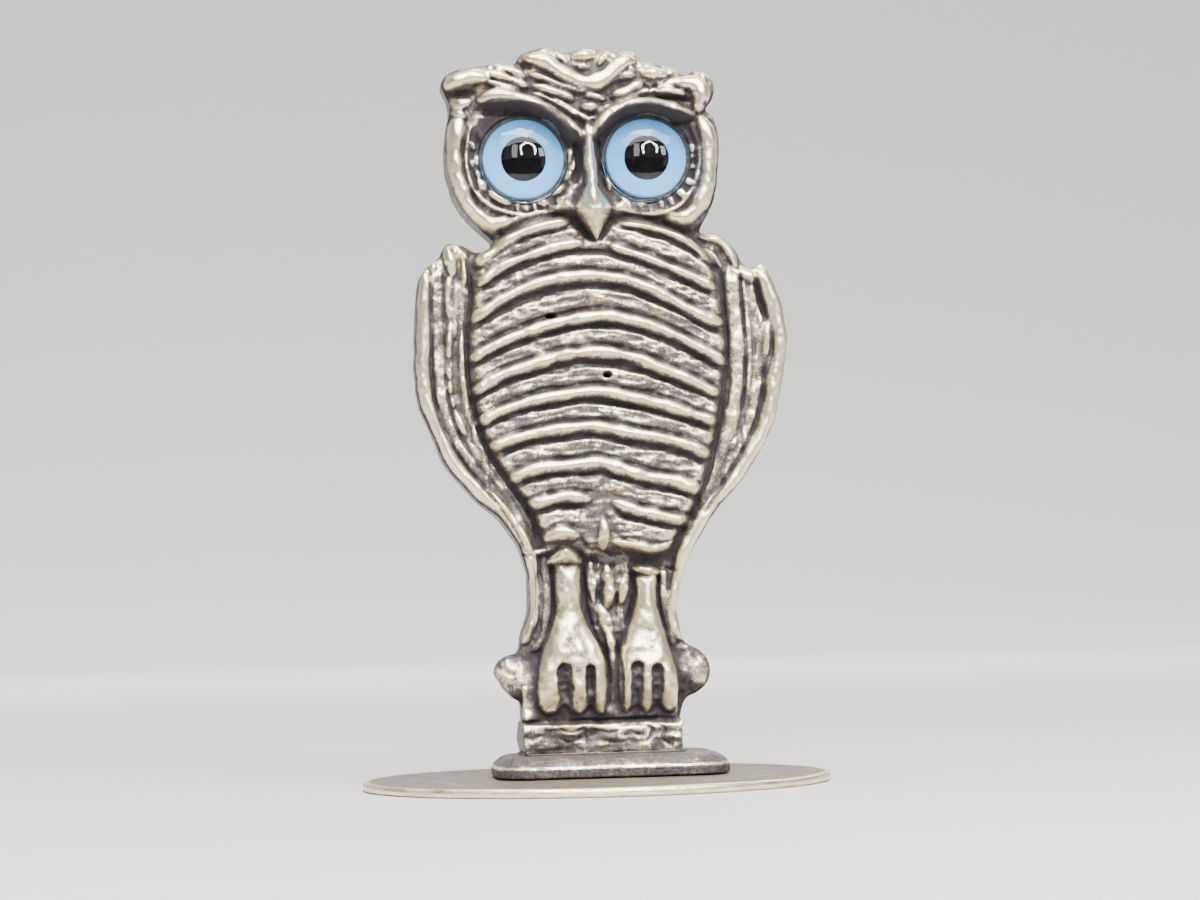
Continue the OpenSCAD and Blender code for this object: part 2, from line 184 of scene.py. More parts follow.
# The outline of each shin with its foot, and how far forward they stand at each height
FEET = [
    [(-3.4, 19.6), (-3.55, 17), (-3.5, 15.2), (-3.9, 13.8), (-4.6, 12.2), (-5.1, 10.4), (-5.4, 8.4),
        (-5.4, 6.8), (-4.9, 6.0), (-4.3, 5.7), (-3.5, 6.0), (-2.9, 6.6), (-2.2, 5.9), (-1.6, 5.6),
        (-1.0, 5.9), (-0.55, 6.5), (-0.1, 5.9), (0.5, 5.6), (1.0, 6.1), (1.2, 8.4), (1.0, 10.4),
        (0.5, 12.0), (-0.4, 13.6), (-1.0, 15.2), (-1.05, 17), (-1.2, 19.6)],
    [(4.0, 18.3), (3.95, 16.4), (3.6, 15.0), (3.0, 13.4), (2.4, 11.8), (2.15, 10.2), (2.1, 8.2),
        (2.25, 6.3), (2.7, 5.7), (3.1, 5.9), (3.7, 6.5), (4.2, 5.9), (4.6, 5.6), (5.0, 5.9), (5.5, 6.5),
        (6.1, 5.9), (6.8, 5.7), (7.4, 6.3), (7.6, 8.2), (7.3, 10.2), (6.8, 12.0), (6.4, 13.6), (6.05, 15.0),
        (5.9, 16.4), (5.9, 18.3)],
]
FEET_FRONT = [(5.6, 3.0), (6.6, 3.8), (8.5, 4.2), (10.5, 4.2), (13, 3.7), (16, 3.4), (20, 3.3)]

# Gaps between the toes
TOE_GAPS = [
    (0.58, [(-2.9, 9.8), (-2.85, 8), (-2.8, 5.5)]),
    (0.4, [(-0.55, 9.8), (-0.55, 8), (-0.5, 5.7)]),
    (0.5, [(3.7, 9.9), (3.7, 8), (3.6, 5.5)]),
    (0.46, [(5.6, 9.7), (5.55, 8), (5.5, 5.5)]),
]

# The face and crown
FACE = [
    # cheek rims
    (0.86, 1.0, 3.6, [(-11.3, 60.2), (-11.8, 58.4), (-11.95, 56.4), (-11.85, 54.8), (-11.35, 53.2),
        (-10.5, 51.9), (-9.4, 50.9), (-8.6, 50.0), (-8.5, 48.6)]),
    (0.62, 0.8, 3.8, [(-9.8, 51.4), (-8.4, 50.7), (-6.8, 50.6), (-5.0, 51.0), (-3.2, 51.4)]),
    (0.22, 0.42, 3.4, [(-10.2, 59.6), (-10.7, 57.8), (-10.75, 56), (-10.35, 54.2), (-9.5, 52.9),
        (-8.2, 52.0), (-6.4, 51.45), (-4, 51.35), (-1.8, 51.9)]),
    (0.8, 1.0, 3.6, [(11.0, 60.0), (11.55, 58.4), (11.65, 56.4), (11.45, 54.4), (10.95, 52.8), (10.1, 51.5),
        (9.0, 50.8), (7.8, 50.9)]),
    (0.22, 0.42, 3.4, [(9.9, 59.6), (10.5, 58.2), (10.7, 56.6), (10.5, 55), (9.9, 53.4), (8.8, 52.1),
        (7.2, 51.4), (5, 51.3), (3, 51.9)]),
    # brows
    (0.74, 1.45, 4.2, [(-9.2, 62.0), (-8.0, 62.3), (-6.4, 62.2), (-4.8, 61.7), (-3.4, 61.0), (-2.2, 60.1),
        (-1.1, 59.2), (0.0, 58.4)]),
    (0.66, 1.45, 4.2, [(0.9, 58.5), (1.7, 59.6), (2.8, 60.6), (4.2, 61.2), (5.8, 61.4), (7.4, 61.2),
        (8.8, 60.7), (10.2, 60.4)]),
    (0.9, 1.3, 3.8, [(10.7, 60.9), (11.0, 61.8), (10.95, 62.8), (10.2, 63.4), (9.2, 63.4)]),
    (0.42, 0.85, 3.8, [(6.9, 62.5), (8.2, 62.6), (9.6, 62.4)]),
    (0.6, 0.6, 3.8, [(7.3, 63.0), (8.2, 63.4), (9.2, 63.7)]),
    # the ridge between the eyes, and the fold beside the beak
    ((0.5, 0.75), 1.15, 4.2, [(0.5, 59.6), (0.55, 57.2), (0.65, 55.4), (0.75, 53.4)]),
    (0.6, 0.45, 3.6, [(-2.2, 52.6), (-1.6, 51.9), (-1.2, 51.2)]),
    (0.5, 0.4, 3.6, [(3.6, 52.4), (3.2, 51.6), (3.3, 50.8)]),
    # crown
    (0.74, 1.05, 3.8, [(-4.9, 65.9), (-3.4, 65.5), (-2.1, 64.6), (-0.7, 63.8), (0.7, 63.4), (2.0, 63.8),
        (3.1, 64.7), (4.0, 65.4), (4.7, 65.5)]),
    (0.6, 0.8, 3.6, [(-0.5, 66.0), (0.3, 66.1), (1.1, 66.0)]),
    (0.34, 0.5, 3.6, [(-0.3, 65.0), (0.6, 64.9)]),
    (0.34, 0.5, 3.6, [(-2.2, 66.2), (-1.6, 65.7), (-1.3, 65.2)]),
    (0.34, 0.5, 3.6, [(2.4, 66.1), (1.9, 65.6), (1.7, 65.2)]),
    (0.4, 0.7, 3.6, [(4.4, 64.8), (4.9, 64.5)]),
    (0.62, 0.85, 3.6, [(5.8, 64.2), (6.8, 64.3), (7.7, 64.2)]),
    (0.56, 0.8, 3.8, [(2.8, 62.3), (3.8, 62.5), (4.9, 63.0), (5.6, 63.4)]),
    (0.34, 0.6, 3.8, [(3.0, 61.6), (4.6, 62.2), (6.0, 62.6), (7.0, 62.8)]),
    (0.46, 0.55, 3.8, [(2.4, 63.5), (3.6, 64.1), (5.0, 64.1)]),
    (0.8, 1.15, 3.6, [(-12.2, 63.4), (-11.1, 63.9), (-9.9, 64.1), (-8.7, 64.0)]),
    (0.42, 0.75, 3.8, [(-9.2, 64.5), (-7.8, 64.3), (-6.2, 63.7), (-5.0, 63.2)]),
    (0.36, 0.65, 3.8, [(-8.6, 63.6), (-7.2, 63.2), (-5.8, 62.8)]),
    (0.4, 0.65, 3.6, [(-7.9, 65.1), (-6.4, 64.7), (-5.2, 64.0)]),
    (0.48, 0.8, 3.8, [(-4.3, 63.2), (-3.0, 62.8), (-1.8, 62.4), (-0.8, 62.0)]),
    (0.32, 0.65, 3.8, [(-4.6, 64.3), (-3.2, 63.8), (-1.8, 63.2), (-0.3, 62.8), (1.2, 62.9), (2.4, 63.3)]),
    (0.3, 0.65, 3.8, [(-4.4, 62.5), (-3.0, 61.9), (-1.6, 61.1), (-0.4, 60.3)]),
    (0.24, 0.6, 3.8, [(-2.6, 62.0), (-1.2, 61.2), (0.1, 60.3), (0.9, 59.6)]),
    (0.54, 0.8, 3.8, [(0.0, 61.3), (0.8, 61.2), (1.5, 61.1)]),
    (0.34, 0.65, 3.8, [(0.4, 62.3), (1.3, 62.2), (2.1, 61.9)]),
    (0.26, 0.6, 3.8, [(1.3, 60.5), (2.0, 61.1), (2.8, 61.5)]),
    (0.3, 0.6, 3.8, [(-0.4, 60.6), (0.5, 60.1), (1.3, 60.3)]),
    (0.66, 0.75, 3.4, [(-12.0, 61.6), (-11.2, 61.5), (-10.4, 61.8)]),
    (0.42, 0.7, 3.4, [(-11.9, 60.8), (-10.7, 60.4)]),
]

# Hollows cut back into the front: half width, depth, how far forward, and points
HOLLOWS = [
    (0.42, 1.0, 3.4, [(-12.2, 62.6), (-11.2, 62.6), (-10.2, 62.7)]),
    (0.36, 0.9, 3.4, [(-0.8, 58.5), (-0.5, 57.2), (-0.45, 55.8), (-0.8, 54.4)]),
    (0.22, 0.7, 3.4, [(1.4, 58.8), (1.5, 57.2), (1.6, 55.4), (1.9, 53.9)]),
    (0.45, 1.0, 3.4, [(-5.7, 65.1), (-4.9, 65.0)]),
    (0.2, 0.6, 3.8, [(7.2, 62.1), (8.6, 62.1), (10.0, 61.8)]),
    (0.22, 0.8, 3.4, [(11.25, 61.35), (11.4, 61.6)]),
    (0.22, 0.5, 3.4, [(7.3, 63.2), (8.0, 63.8), (8.7, 64.0)]),
    (0.14, 0.4, 3.8, [(5.8, 63.2), (6.3, 62.9), (6.2, 62.4)]),
    (0.14, 0.4, 3.8, [(6.3, 62.9), (6.9, 63.2)]),
    (0.55, 0.75, 3.2, [(-9.6, 60.9), (-8.4, 60.9), (-7.0, 60.95), (-5.4, 60.75), (-3.8, 60.1), (-2.6, 59.2),
        (-1.6, 58.0)]),
    (0.5, 0.75, 3.2, [(1.7, 57.9), (2.5, 59.2), (3.6, 60.1), (5.2, 60.6), (6.8, 60.5), (8.2, 60.0),
        (9.6, 59.9)]),
    (0.24, 0.45, 3.2, [(-10.9, 47.4), (-10.5, 44), (-11.0, 40), (-10.9, 36), (-10.2, 32.6), (-9.2, 29.6),
        (-7.4, 26.7), (-5.7, 24.2), (-4.8, 21.6)]),
    (0.2, 0.4, 3.2, [(12.6, 46), (12.7, 43), (12.95, 39.5), (12.5, 35), (11.9, 31.6), (11.1, 28),
        (9.8, 24.8), (8.2, 21.8)]),
    (0.17, 0.4, 2.5, [(-14.25, 46.4), (-14.3, 42), (-14.25, 37), (-13.9, 33.4), (-12.9, 31.0),
        (-11.5, 28.7), (-10.0, 26.8), (-8.5, 24.8), (-7.2, 22.8), (-6.2, 20.8)]),
    (0.13, 0.28, 2.5, [(-13.1, 46.0), (-13.1, 42), (-13.1, 37.4), (-12.7, 33.8), (-11.9, 31.4),
        (-10.8, 29.4)]),
    (0.32, 0.6, 2.5, [(15.6, 45.6), (16.0, 43.2), (16.5, 41.6)]),
    (0.18, 0.4, 2.5, [(16.3, 37.4), (16.0, 34.6), (15.3, 32.1), (14.2, 29.9), (12.9, 27.7), (11.5, 25.6),
        (10.3, 23.8)]),
    (0.13, 0.28, 2.5, [(14.2, 45.8), (14.4, 42), (14.5, 38.4), (14.3, 35), (13.9, 32.6)]),
    (0.14, 0.2, 2.4, [(-5.5, 20.2), (-5.3, 17.6), (-5.4, 15.0), (-5.9, 12.6)]),
    (0.14, 0.35, 2.4, [(-3.75, 19.4), (-3.75, 16.8), (-3.8, 15.2), (-4.3, 13.2), (-5.1, 11.4)]),
    (0.16, 0.45, 2.4, [(-0.95, 19.6), (-0.85, 17.4), (-0.6, 15.2), (-0.1, 13.4), (0.6, 11.6)]),
    (0.16, 0.45, 2.4, [(3.6, 18.6), (3.7, 16.6), (3.3, 14.8), (2.9, 13.4), (2.5, 12.0)]),
    (0.16, 0.4, 2.4, [(6.0, 18.4), (5.85, 16.6), (6.1, 14.8), (6.6, 13.0)]),
    (0.14, 0.4, 2.4, [(-6.8, 20.5), (-5.6, 20.2)]),
    (0.16, 0.4, 3.0, [(6.2, 18.9), (7.8, 18.75)]),
    (0.15, 0.45, 3.2, [(0.95, 12.6), (1.15, 10), (1.2, 6.6)]),
    (0.15, 0.45, 3.2, [(2.1, 12.4), (2.3, 9.6), (2.3, 6.6)]),
    (0.3, 0.4, 3.0, [(3.2, 20.3), (4.4, 20.0), (5.8, 19.7)]),
    (0.3, 0.5, 3.2, [(-1.0, 21.6), (-0.6, 20.9)]),
]

# Cracks and lumps of the block's front: half width, depth and points
CRACKS = [
    (0.24, 0.52, [(-6.8, 5.15), (-3.4, 5.1), (-1.4, 5.2), (0.8, 5.1), (3.8, 5.2), (7.4, 5.1)]),
    (0.13, 0.26, [(-3.4, 4.5), (-2.6, 4.2), (-1.6, 4.4), (-1.2, 4.8)]),
    (0.12, 0.2275, [(-3.5, 3.6), (-2.5, 3.3), (-1.5, 3.7)]),
    (0.12, 0.26, [(-1.1, 4.9), (-1.2, 4.1), (-0.8, 3.2)]),
    (0.11, 0.195, [(-0.4, 4.4), (1.0, 4.1), (2.6, 4.3), (3.8, 3.8)]),
    (0.11, 0.195, [(0.4, 3.4), (1.8, 3.2), (3.0, 3.5)]),
    (0.15, 0.325, [(4.4, 4.7), (5.0, 4.3), (4.8, 3.7), (4.4, 3.2)]),
    (0.13, 0.26, [(5.6, 4.8), (6.2, 4.2), (5.9, 3.4), (6.7, 2.8)]),
    (0.13, 0.26, [(-6.9, 3.9), (-6.0, 3.7), (-5.2, 4.0)]),
]

# Small holes left by gas in the metal: place, half length and half height
PITS = [((-3.3, 42.1), 0.5, 0.22), ((1.7, 36.6), 0.38, 0.25)]

# The back: the head's ruff, two folded wings that cross over the tail, and their long feathers
BACK = [
    (0.9, 1.0, [(-10.6, 61), (-11.2, 57), (-10.2, 53.2), (-7.6, 50.8), (-4, 49.8)]),
    (0.9, 1.0, [(10.2, 60.6), (10.7, 57), (9.9, 53.2), (7.4, 50.8), (4, 49.8)]),
    (0.6, 0.8, [(-5, 64.6), (-2.6, 63.0), (0, 62.2), (2.6, 62.8), (5, 64.4)]),
    (0.55, 0.7, [(-7.4, 62.2), (-4, 60.2), (0, 59.2), (3.8, 60.0), (7.2, 61.8)]),
    (0.55, 0.7, [(-8.4, 58.8), (-4.4, 56.9), (0, 56.0), (4.2, 56.8), (8.0, 58.6)]),
    (0.55, 0.7, [(-8, 55.4), (-4.4, 53.8), (0, 53.0), (4.2, 53.7), (7.8, 55.2)]),
    (1.0, 1.2, [(-13.6, 46), (-9, 48), (-4, 47.4), (0.4, 44.6), (2.6, 40)]),
    (1.0, 1.2, [(15, 45.6), (11, 47.6), (6.4, 47.2), (2.6, 44.4), (0.8, 40.6)]),
    (0.8, 1.0, [(-14.6, 44), (-15, 38), (-13.6, 32.6), (-10.4, 27.6), (-6.4, 22.6), (-3.6, 18)]),
    (0.8, 1.0, [(16.6, 43), (16.6, 37), (15, 31.8), (11.8, 27.2), (8.4, 22.4), (5.4, 18)]),
    (0.6, 0.8, [(-11.6, 45.2), (-12.2, 39), (-10.8, 33.4), (-7.6, 28), (-3.6, 22.6), (-1.8, 18)]),
    (0.6, 0.8, [(13.4, 44.6), (13.8, 38.6), (12.2, 33), (9.2, 28), (5.8, 22.8), (3.6, 18)]),
    (0.6, 0.8, [(-8.6, 45.4), (-9.2, 39.6), (-7.6, 34), (-4.6, 28.8), (-1.2, 23.6), (0.1, 18)]),
    (0.6, 0.8, [(10.4, 44.8), (10.8, 39.4), (9.2, 34), (6.4, 29), (3.2, 24), (1.9, 18)]),
    (0.6, 0.8, [(-5.4, 45), (-6, 40), (-4.4, 35), (-1.8, 30.4), (0.4, 26)]),
    (0.6, 0.8, [(7.4, 44.6), (7.8, 39.8), (6.2, 35.2), (3.8, 30.8), (1.8, 26.6)]),
    (1.3, 1.2, [(0.9, 24), (0.9, 19), (0.9, 14.5)]),
    (0.7, 0.9, [(-1.2, 20), (-1.4, 16), (-1.0, 13.2)]),
    (0.7, 0.9, [(3.0, 20), (3.2, 16), (2.8, 13.2)]),
    (0.7, 0.9, [(-6.2, 19), (-5.9, 15.6), (-6.4, 12.6)]),
    (0.7, 0.9, [(7.4, 19), (7.0, 15.6), (7.4, 12.6)]),
]


# ---------------------------------------------------------------- relief, cut on a sheet of heights

MESH_STEP = 0.15
SHEET_STEP = MESH_STEP / 2
SHEET_LOW = (-18.6, 2.2)
SHEET_HIGH = (20.6, 68.0)
MOULD_DEPTH = (-6.3, 4.8)
FIELD_REACH = 0.6


def smooth_line(points, per=6):
    """A smooth curve through points, as an array."""
    p = np.array(points, float)
    if len(p) < 3:
        t = np.linspace(0, 1, per + 1)[:, None]
        return p[0] * (1 - t) + p[-1] * t
    p = np.vstack([2 * p[0] - p[1], p, 2 * p[-1] - p[-2]])
    t = np.arange(per)[:, None] / per
    spans = [
        0.5 * (2 * b + (c - a) * t + (2 * a - 5 * b + 4 * c - d) * t**2 + (3 * b - a - 3 * c + d) * t**3)
        for a, b, c, d in zip(p, p[1:], p[2:], p[3:])
    ]
    return np.vstack(spans + [p[-2]])


def smooth_ring(points, per=5):
    """A smooth closed curve through points."""
    p = list(points)
    return smooth_line([p[-1]] + p + [p[0], p[1]], per)[per : per * (len(p) + 1)]


def step_between(value, low, high):
    t = np.clip((value - low) / (high - low), 0, 1)
    return t * t * (3 - 2 * t)


class Sheet:
    """A sheet of heights over X and Z that strokes are raised from and cut into."""

    def __init__(self):
        self.x = np.arange(SHEET_LOW[0], SHEET_HIGH[0], SHEET_STEP)
        self.z = np.arange(SHEET_LOW[1], SHEET_HIGH[1], SHEET_STEP)
        self.X, self.Z = np.meshgrid(self.x, self.z, indexing="ij")
        self.lay(np.zeros(self.X.shape))
        self.hand = np.random.default_rng(17)

    def lay(self, level):
        """Starts the relief from a bed of that level."""
        self.bed, self.height = level, level.copy()

    def raise_to(self, level, there=True):
        """Raises the relief to a level in a part of it, wherever it is lower."""
        self.height = np.where(there, np.maximum(self.height, level), self.height)

    def blur(self, field, radius, stretch=(1, 1)):
        """The field, smoothed by a bell of that radius in millimetres, longer along X or Z if stretched."""
        u = np.fft.fftfreq(field.shape[0], SHEET_STEP)[:, None] * stretch[0]
        v = np.fft.rfftfreq(field.shape[1], SHEET_STEP)[None, :] * stretch[1]
        bell = np.exp(-2 * (math.pi * radius) ** 2 * (u * u + v * v))
        return np.fft.irfft2(np.fft.rfft2(field) * bell, s=field.shape)

    def grain(self, radius, seed, stretch=(1, 1)):
        """Smooth random unevenness of that size, about 1 high."""
        rough = self.blur(np.random.default_rng(seed).standard_normal(self.X.shape), radius, stretch)
        return rough / rough.std()

    def inside(self, ring):
        """The distance in from a closed outline: negative outside it."""
        near = np.full(self.X.shape, 1e9)
        within = np.zeros(self.X.shape, bool)
        for (ax, az), (bx, bz) in zip(ring, np.roll(ring, -1, 0)):
            dx, dz = bx - ax, bz - az
            t = np.clip(((self.X - ax) * dx + (self.Z - az) * dz) / max(dx * dx + dz * dz, 1e-12), 0, 1)
            near = np.minimum(near, (self.X - ax - t * dx) ** 2 + (self.Z - az - t * dz) ** 2)
            if az != bz:
                crosses = (self.Z > az) != (self.Z > bz)
                within ^= crosses & (self.X < ax + (self.Z - az) * dx / dz)
        return np.sqrt(near) * np.where(within, 1, -1)

    def along(self, line, reach):
        """The window of the sheet within reach of a line, and there the distance to it, the place along it
        from 0 to 1, and its length."""
        ends = zip((self.x, self.z), line.min(0) - reach, line.max(0) + reach)
        window = tuple(slice(*np.searchsorted(axis, (low, high))) for axis, low, high in ends)
        X, Z = self.X[window], self.Z[window]
        near, place = np.full(X.shape, 1e9), np.zeros(X.shape)
        steps = np.linalg.norm(np.diff(line, axis=0), axis=1)
        starts = np.concatenate([[0], np.cumsum(steps)])
        for (ax, az), (bx, bz), start, step in zip(line, line[1:], starts, steps):
            dx, dz = bx - ax, bz - az
            t = np.clip(((X - ax) * dx + (Z - az) * dz) / max(step * step, 1e-12), 0, 1)
            gap = (X - ax - t * dx) ** 2 + (Z - az - t * dz) ** 2
            closer = gap < near
            near = np.where(closer, gap, near)
            place = np.where(closer, start + t * step, place)
        return window, np.sqrt(near), place / starts[-1], starts[-1]

    def ridge(self, half, tall, points, bed=None, power=1.15, blunt=0.55, uneven=0.10):
        """Raises a rounded, hand-cut stroke that thins out over its two ends. It lies on the bed, or on
        another field that is given."""
        start, stop = half if isinstance(half, tuple) else (half, half)
        line = smooth_line(points)
        window, gap, place, length = self.along(line, 2.4 * max(start, stop))
        half = start + (stop - start) * place
        count = int(length / 1.1) + 3
        waver = np.interp(place * (count - 1), np.arange(count), self.hand.normal(0, uneven, count))
        half = half * (1 + waver)
        ends = np.minimum(place, 1 - place) * length / (1.6 * half)
        thin = blunt + (1 - blunt) * np.sqrt(np.clip(ends, 0, 1))
        reach = np.clip(gap / (half * thin), 0, 1)
        rise = tall * (1 + 0.6 * waver) * thin * np.sqrt(1 - reach**2) ** power
        rise += (self.bed if bed is None else bed)[window]
        here = self.height[window]
        self.height[window] = np.where(reach < 1, np.maximum(here, rise), here)

    def groove(self, half, deep, points):
        """Cuts a rounded channel that runs out at its two ends."""
        window, gap, place, length = self.along(smooth_line(points), 2 * half)
        ends = np.clip(np.minimum(place, 1 - place) * length / (2 * half), 0, 1)
        cut = (1 - np.clip(gap / half, 0, 1) ** 2) * (0.5 + 0.5 * ends)
        self.height[window] -= deep * cut


# ---------------------------------------------------------------- the two halves of the mould

# The front was drawn as it looks from a point this far to the right of its middle, up, and in front
DRAWN_FROM = (-34.0, 15.7, 300.0)
# How far the outline and the strokes lie from where they were drawn
OUTLINE_SHIFT = (0.22, 0.15)
SHEET_SHIFT = (0.22, 0.57)
# Heights above the table
WING_TOP = 46.6
PERCH_Z = 9.9
BLOCK_TOP = 5.75
# How far in front of the parting line these lie
BODY_LEVEL = 2.0
BOWL_LEVEL = 2.75
BEAK_SIDE = 3.0
BLOCK_FRONT = 3.45
FEET_FORWARD = 3.7
TOE_GAP_DEPTH = 1.0
PERCH_X = 0.5
PERCH_R = 2.3
# The head, down to the collar
HEAD = [(-8.6, 49.4), (-12.6, 51.5), (-14, 57), (-14, 67), (0, 69), (13, 67), (13.4, 57), (12.4, 51.5),
        (10, 49.8), (6, 51.2), (2.6, 50.8), (1.2, 48.9), (-1, 51.2), (-5, 50.9)]

# Small tongues of feather round each eye
TONGUES = [
    (0.52, [(-9.4, 58.9), (-9.1, 58.2)]), (0.42, [(-9.85, 56.8), (-9.75, 56.1)]),
    (0.3, [(-9.85, 55.4), (-9.6, 54.9)]), (0.42, [(-9.6, 54.6), (-9.1, 53.7)]),
    (0.46, [(-8.6, 53.4), (-7.6, 52.8), (-6.9, 52.4)]), (0.18, [(-6.3, 52.6), (-6.15, 51.8)]),
    (0.42, [(-5.55, 52.0), (-5.05, 51.9)]), (0.16, [(-4.72, 52.5), (-4.55, 51.7)]),
    (0.46, [(-4.1, 52.4), (-3.5, 52.4)]), (0.42, [(-2.9, 53.3), (-1.9, 53.9)]),
    (0.32, [(-1.65, 54.6), (-1.2, 55.3)]), (0.26, [(-1.35, 56.2), (-1.15, 57.4)]),
    (0.26, [(-2.4, 52.3), (-1.8, 53.0)]), (0.24, [(-2.9, 52.0), (-2.2, 51.8)]),
    (0.26, [(-10.2, 58.0), (-10.0, 57.4)]), (0.22, [(-10.3, 56.4), (-10.2, 55.8)]),
    (0.4, [(9.1, 59.0), (9.7, 58.2)]), (0.36, [(9.9, 57.7), (10.1, 57.0)]),
    (0.22, [(9.5, 56.7), (10.2, 56.5)]), (0.32, [(9.5, 55.8), (10.2, 55.6)]),
    (0.38, [(9.4, 54.5), (10.0, 54.0)]), (0.38, [(8.5, 53.6), (9.3, 52.8)]),
    (0.3, [(7.8, 52.9), (8.1, 52.2)]), (0.28, [(6.9, 52.6), (7.2, 52.0)]),
    (0.4, [(5.0, 52.2), (5.5, 52.2)]), (0.3, [(3.4, 52.8), (4.2, 52.0)]), (0.3, [(2.3, 53.6), (2.1, 54.8)]),
    (0.26, [(1.85, 55.6), (1.8, 56.8)]),
]

# What lies across a gap between two breast feathers: half width, height, and share of the gap.
# First a broad ledge, with a cut under the upper feather and one below the ledge, then fine strokes on it.
LEDGE = (0.85, 0.24, 0.56)
FINE_CUTS = [(0.30, 0.34, 0.25), (0.15, 0.20, 0.78)]
FINE_STROKES = [(0.15, 0.10, 0.41), (0.12, 0.09, 0.52), (0.16, 0.11, 0.64)]


def placed(points, forward=4.0):
    """Points of the front as they lie on the casting, for a stroke that stands that far forward."""
    p = np.array(points, float) + SHEET_SHIFT
    share = forward / DRAWN_FROM[2]
    return p * (1 - share) + np.array(DRAWN_FROM[:2]) * share


def evenly(line, count):
    """The same line with evenly spaced points."""
    steps = np.concatenate([[0], np.cumsum(np.linalg.norm(np.diff(line, axis=0), axis=1))])
    at = np.linspace(0, steps[-1], count)
    return np.column_stack([np.interp(at, steps, line[:, i]) for i in (0, 1)])


def band(place, middle, half, soft=0.5):
    """1 within half a band's width of its middle, with soft edges inside it."""
    return step_between(half - np.abs(place - middle), 0, soft)


def tail_mask(sheet):
    return band(sheet.X, 1.3, 2.3) * band(sheet.Z, 16.9, 3.4)


def round_edge(inside, radius):
    """How much lower the surface lies where it turns over at the outline."""
    t = 1 - np.clip(inside / radius, 0, 1)
    return radius * (1 - np.sqrt(1 - t * t))


def cut_gap(sheet, upper, lower, rng):
    """A ledge with fine strokes that follow two feathers, in the gap between them."""
    count = 14
    upper, lower = (evenly(smooth_line(line), count) for line in (upper, lower))

    def between(share, wander):
        return upper * (1 - share) + lower * share + rng.normal(0, wander, (count, 1)) * [0, 1]

    half, rise, share = LEDGE
    sheet.ridge(half, rise, between(share, 0.05), power=0.7)
    for half, deep, share in FINE_CUTS:
        sheet.groove(half, deep, between(share, 0.05))
    for half, rise, share in FINE_STROKES:
        start, stop = rng.integers(0, 4), rng.integers(9, count + 1)
        sheet.ridge(half, rise, between(share, 0.07)[start:stop], bed=sheet.height)


def rim_of_wings(sheet, inside):
    """A roll that follows the outline of the wings and thighs."""
    X, Z = sheet.X, sheet.Z
    thigh = 1 - step_between(Z, 18.5, 21.5)
    half = 0.72 - 0.22 * thigh + 0.04 * sheet.grain(1.2, 41)
    tall = 0.95 - 0.15 * thigh
    middle = half + 0.02
    reach = np.clip(np.abs(inside - middle) / half, 0, 1)
    ends = np.minimum(Z - 12.8, WING_TOP - Z)
    fade = np.sqrt(np.clip(ends / 0.9, 0, 1))
    rise = tall * fade * np.sqrt(1 - reach**2)
    there = (reach < 1) & (ends > 0) & (np.abs(X - 0.6) > 5)
    sheet.raise_to(BODY_LEVEL - 0.35 * thigh - 0.25 + rise, there)


def front_half(sheet, inside, eyes):
    """Cuts the front: breast, wings, legs, perch and face."""
    X, Z = sheet.X, sheet.Z
    breast = step_between(sheet.inside(smooth_ring(placed(BREAST))), -0.15, 0.75)
    head = step_between(sheet.inside(smooth_ring(placed(HEAD))), -0.2, 0.9)
    swell = 1 - ((X - 0.7) / 12.5) ** 2
    below = step_between(Z, 19.0, 22.5)
    level = BODY_LEVEL - 0.5 * (1 - below) + breast * below * (0.75 + 0.7 * swell)
    crown = 1 - (X / 15) ** 2 - ((Z - 58) / 13) ** 2
    level = level * (1 - head) + head * (BOWL_LEVEL + 0.55 * crown)
    level -= round_edge(inside, 1.3) * (0.45 + 0.55 * step_between(Z, 46, 50))
    sheet.lay(level + 0.04 * sheet.grain(0.9, 3) + 0.03 * sheet.grain(0.3, 4))

    rng = np.random.default_rng(11)
    rows = [placed(points) for _, _, points in RIBS]
    collar = [(rows[0], rows[2]), (rows[1], rows[3]), (np.vstack([rows[2], rows[3]]), rows[4])]
    full = list(zip(rows[4:9], rows[5:10]))
    vent = [(rows[9][:5], rows[10]), (rows[9][4:], rows[11]), (rows[10], rows[12]), (rows[11], rows[13])]
    for upper, lower in collar + full + vent:
        cut_gap(sheet, upper, lower, rng)
    for half, tall, points in RIBS:
        sheet.ridge(half, tall, placed(points), power=1.25)
    rim_of_wings(sheet, inside)
    for half, tall, forward, points in WINGS + LEGS:
        sheet.ridge(half, tall, placed(points, forward), power=0.9)

    for x, z in eyes:
        away = np.hypot(X - x, Z - z)
        bowl = BOWL_LEVEL + 0.4 * step_between(away, 4.3, 5.2) + 9 * step_between(away, 5.2, 6.4)
        sheet.height = np.minimum(sheet.height, bowl)
    dish = np.minimum(sheet.bed, sheet.height)
    for half, points in TONGUES:
        sheet.ridge(half, 0.75, placed(points, 3.2), bed=dish, power=0.6, uneven=0.0)
    for half, tall, forward, points in FACE:
        sheet.ridge(half, tall, placed(points, forward), power=0.9)
    beak(sheet)

    perch(sheet)
    sheet.raise_to(2.5 + 0.12 * sheet.grain(0.3, 45), (Z < PERCH_Z - 0.8) & (np.abs(X - 0.2) < 7.0))
    feet(sheet)
    for half, deep, forward, points in HOLLOWS:
        sheet.groove(half, deep, placed(points, forward))
    block(sheet, True)
    for (x, z), long, tall in PITS:
        (x, z), = placed([(x, z)])
        hole = np.clip(1 - ((X - x) / long) ** 2 - ((Z - z) / tall) ** 2, 0, 1) ** 0.5
        sheet.height -= 1.6 * hole

    sheet.height += tail_mask(sheet) * (sheet.height < 3.1) * 0.10 * sheet.grain(0.2, 51)
    roughen(sheet, 5, breast)


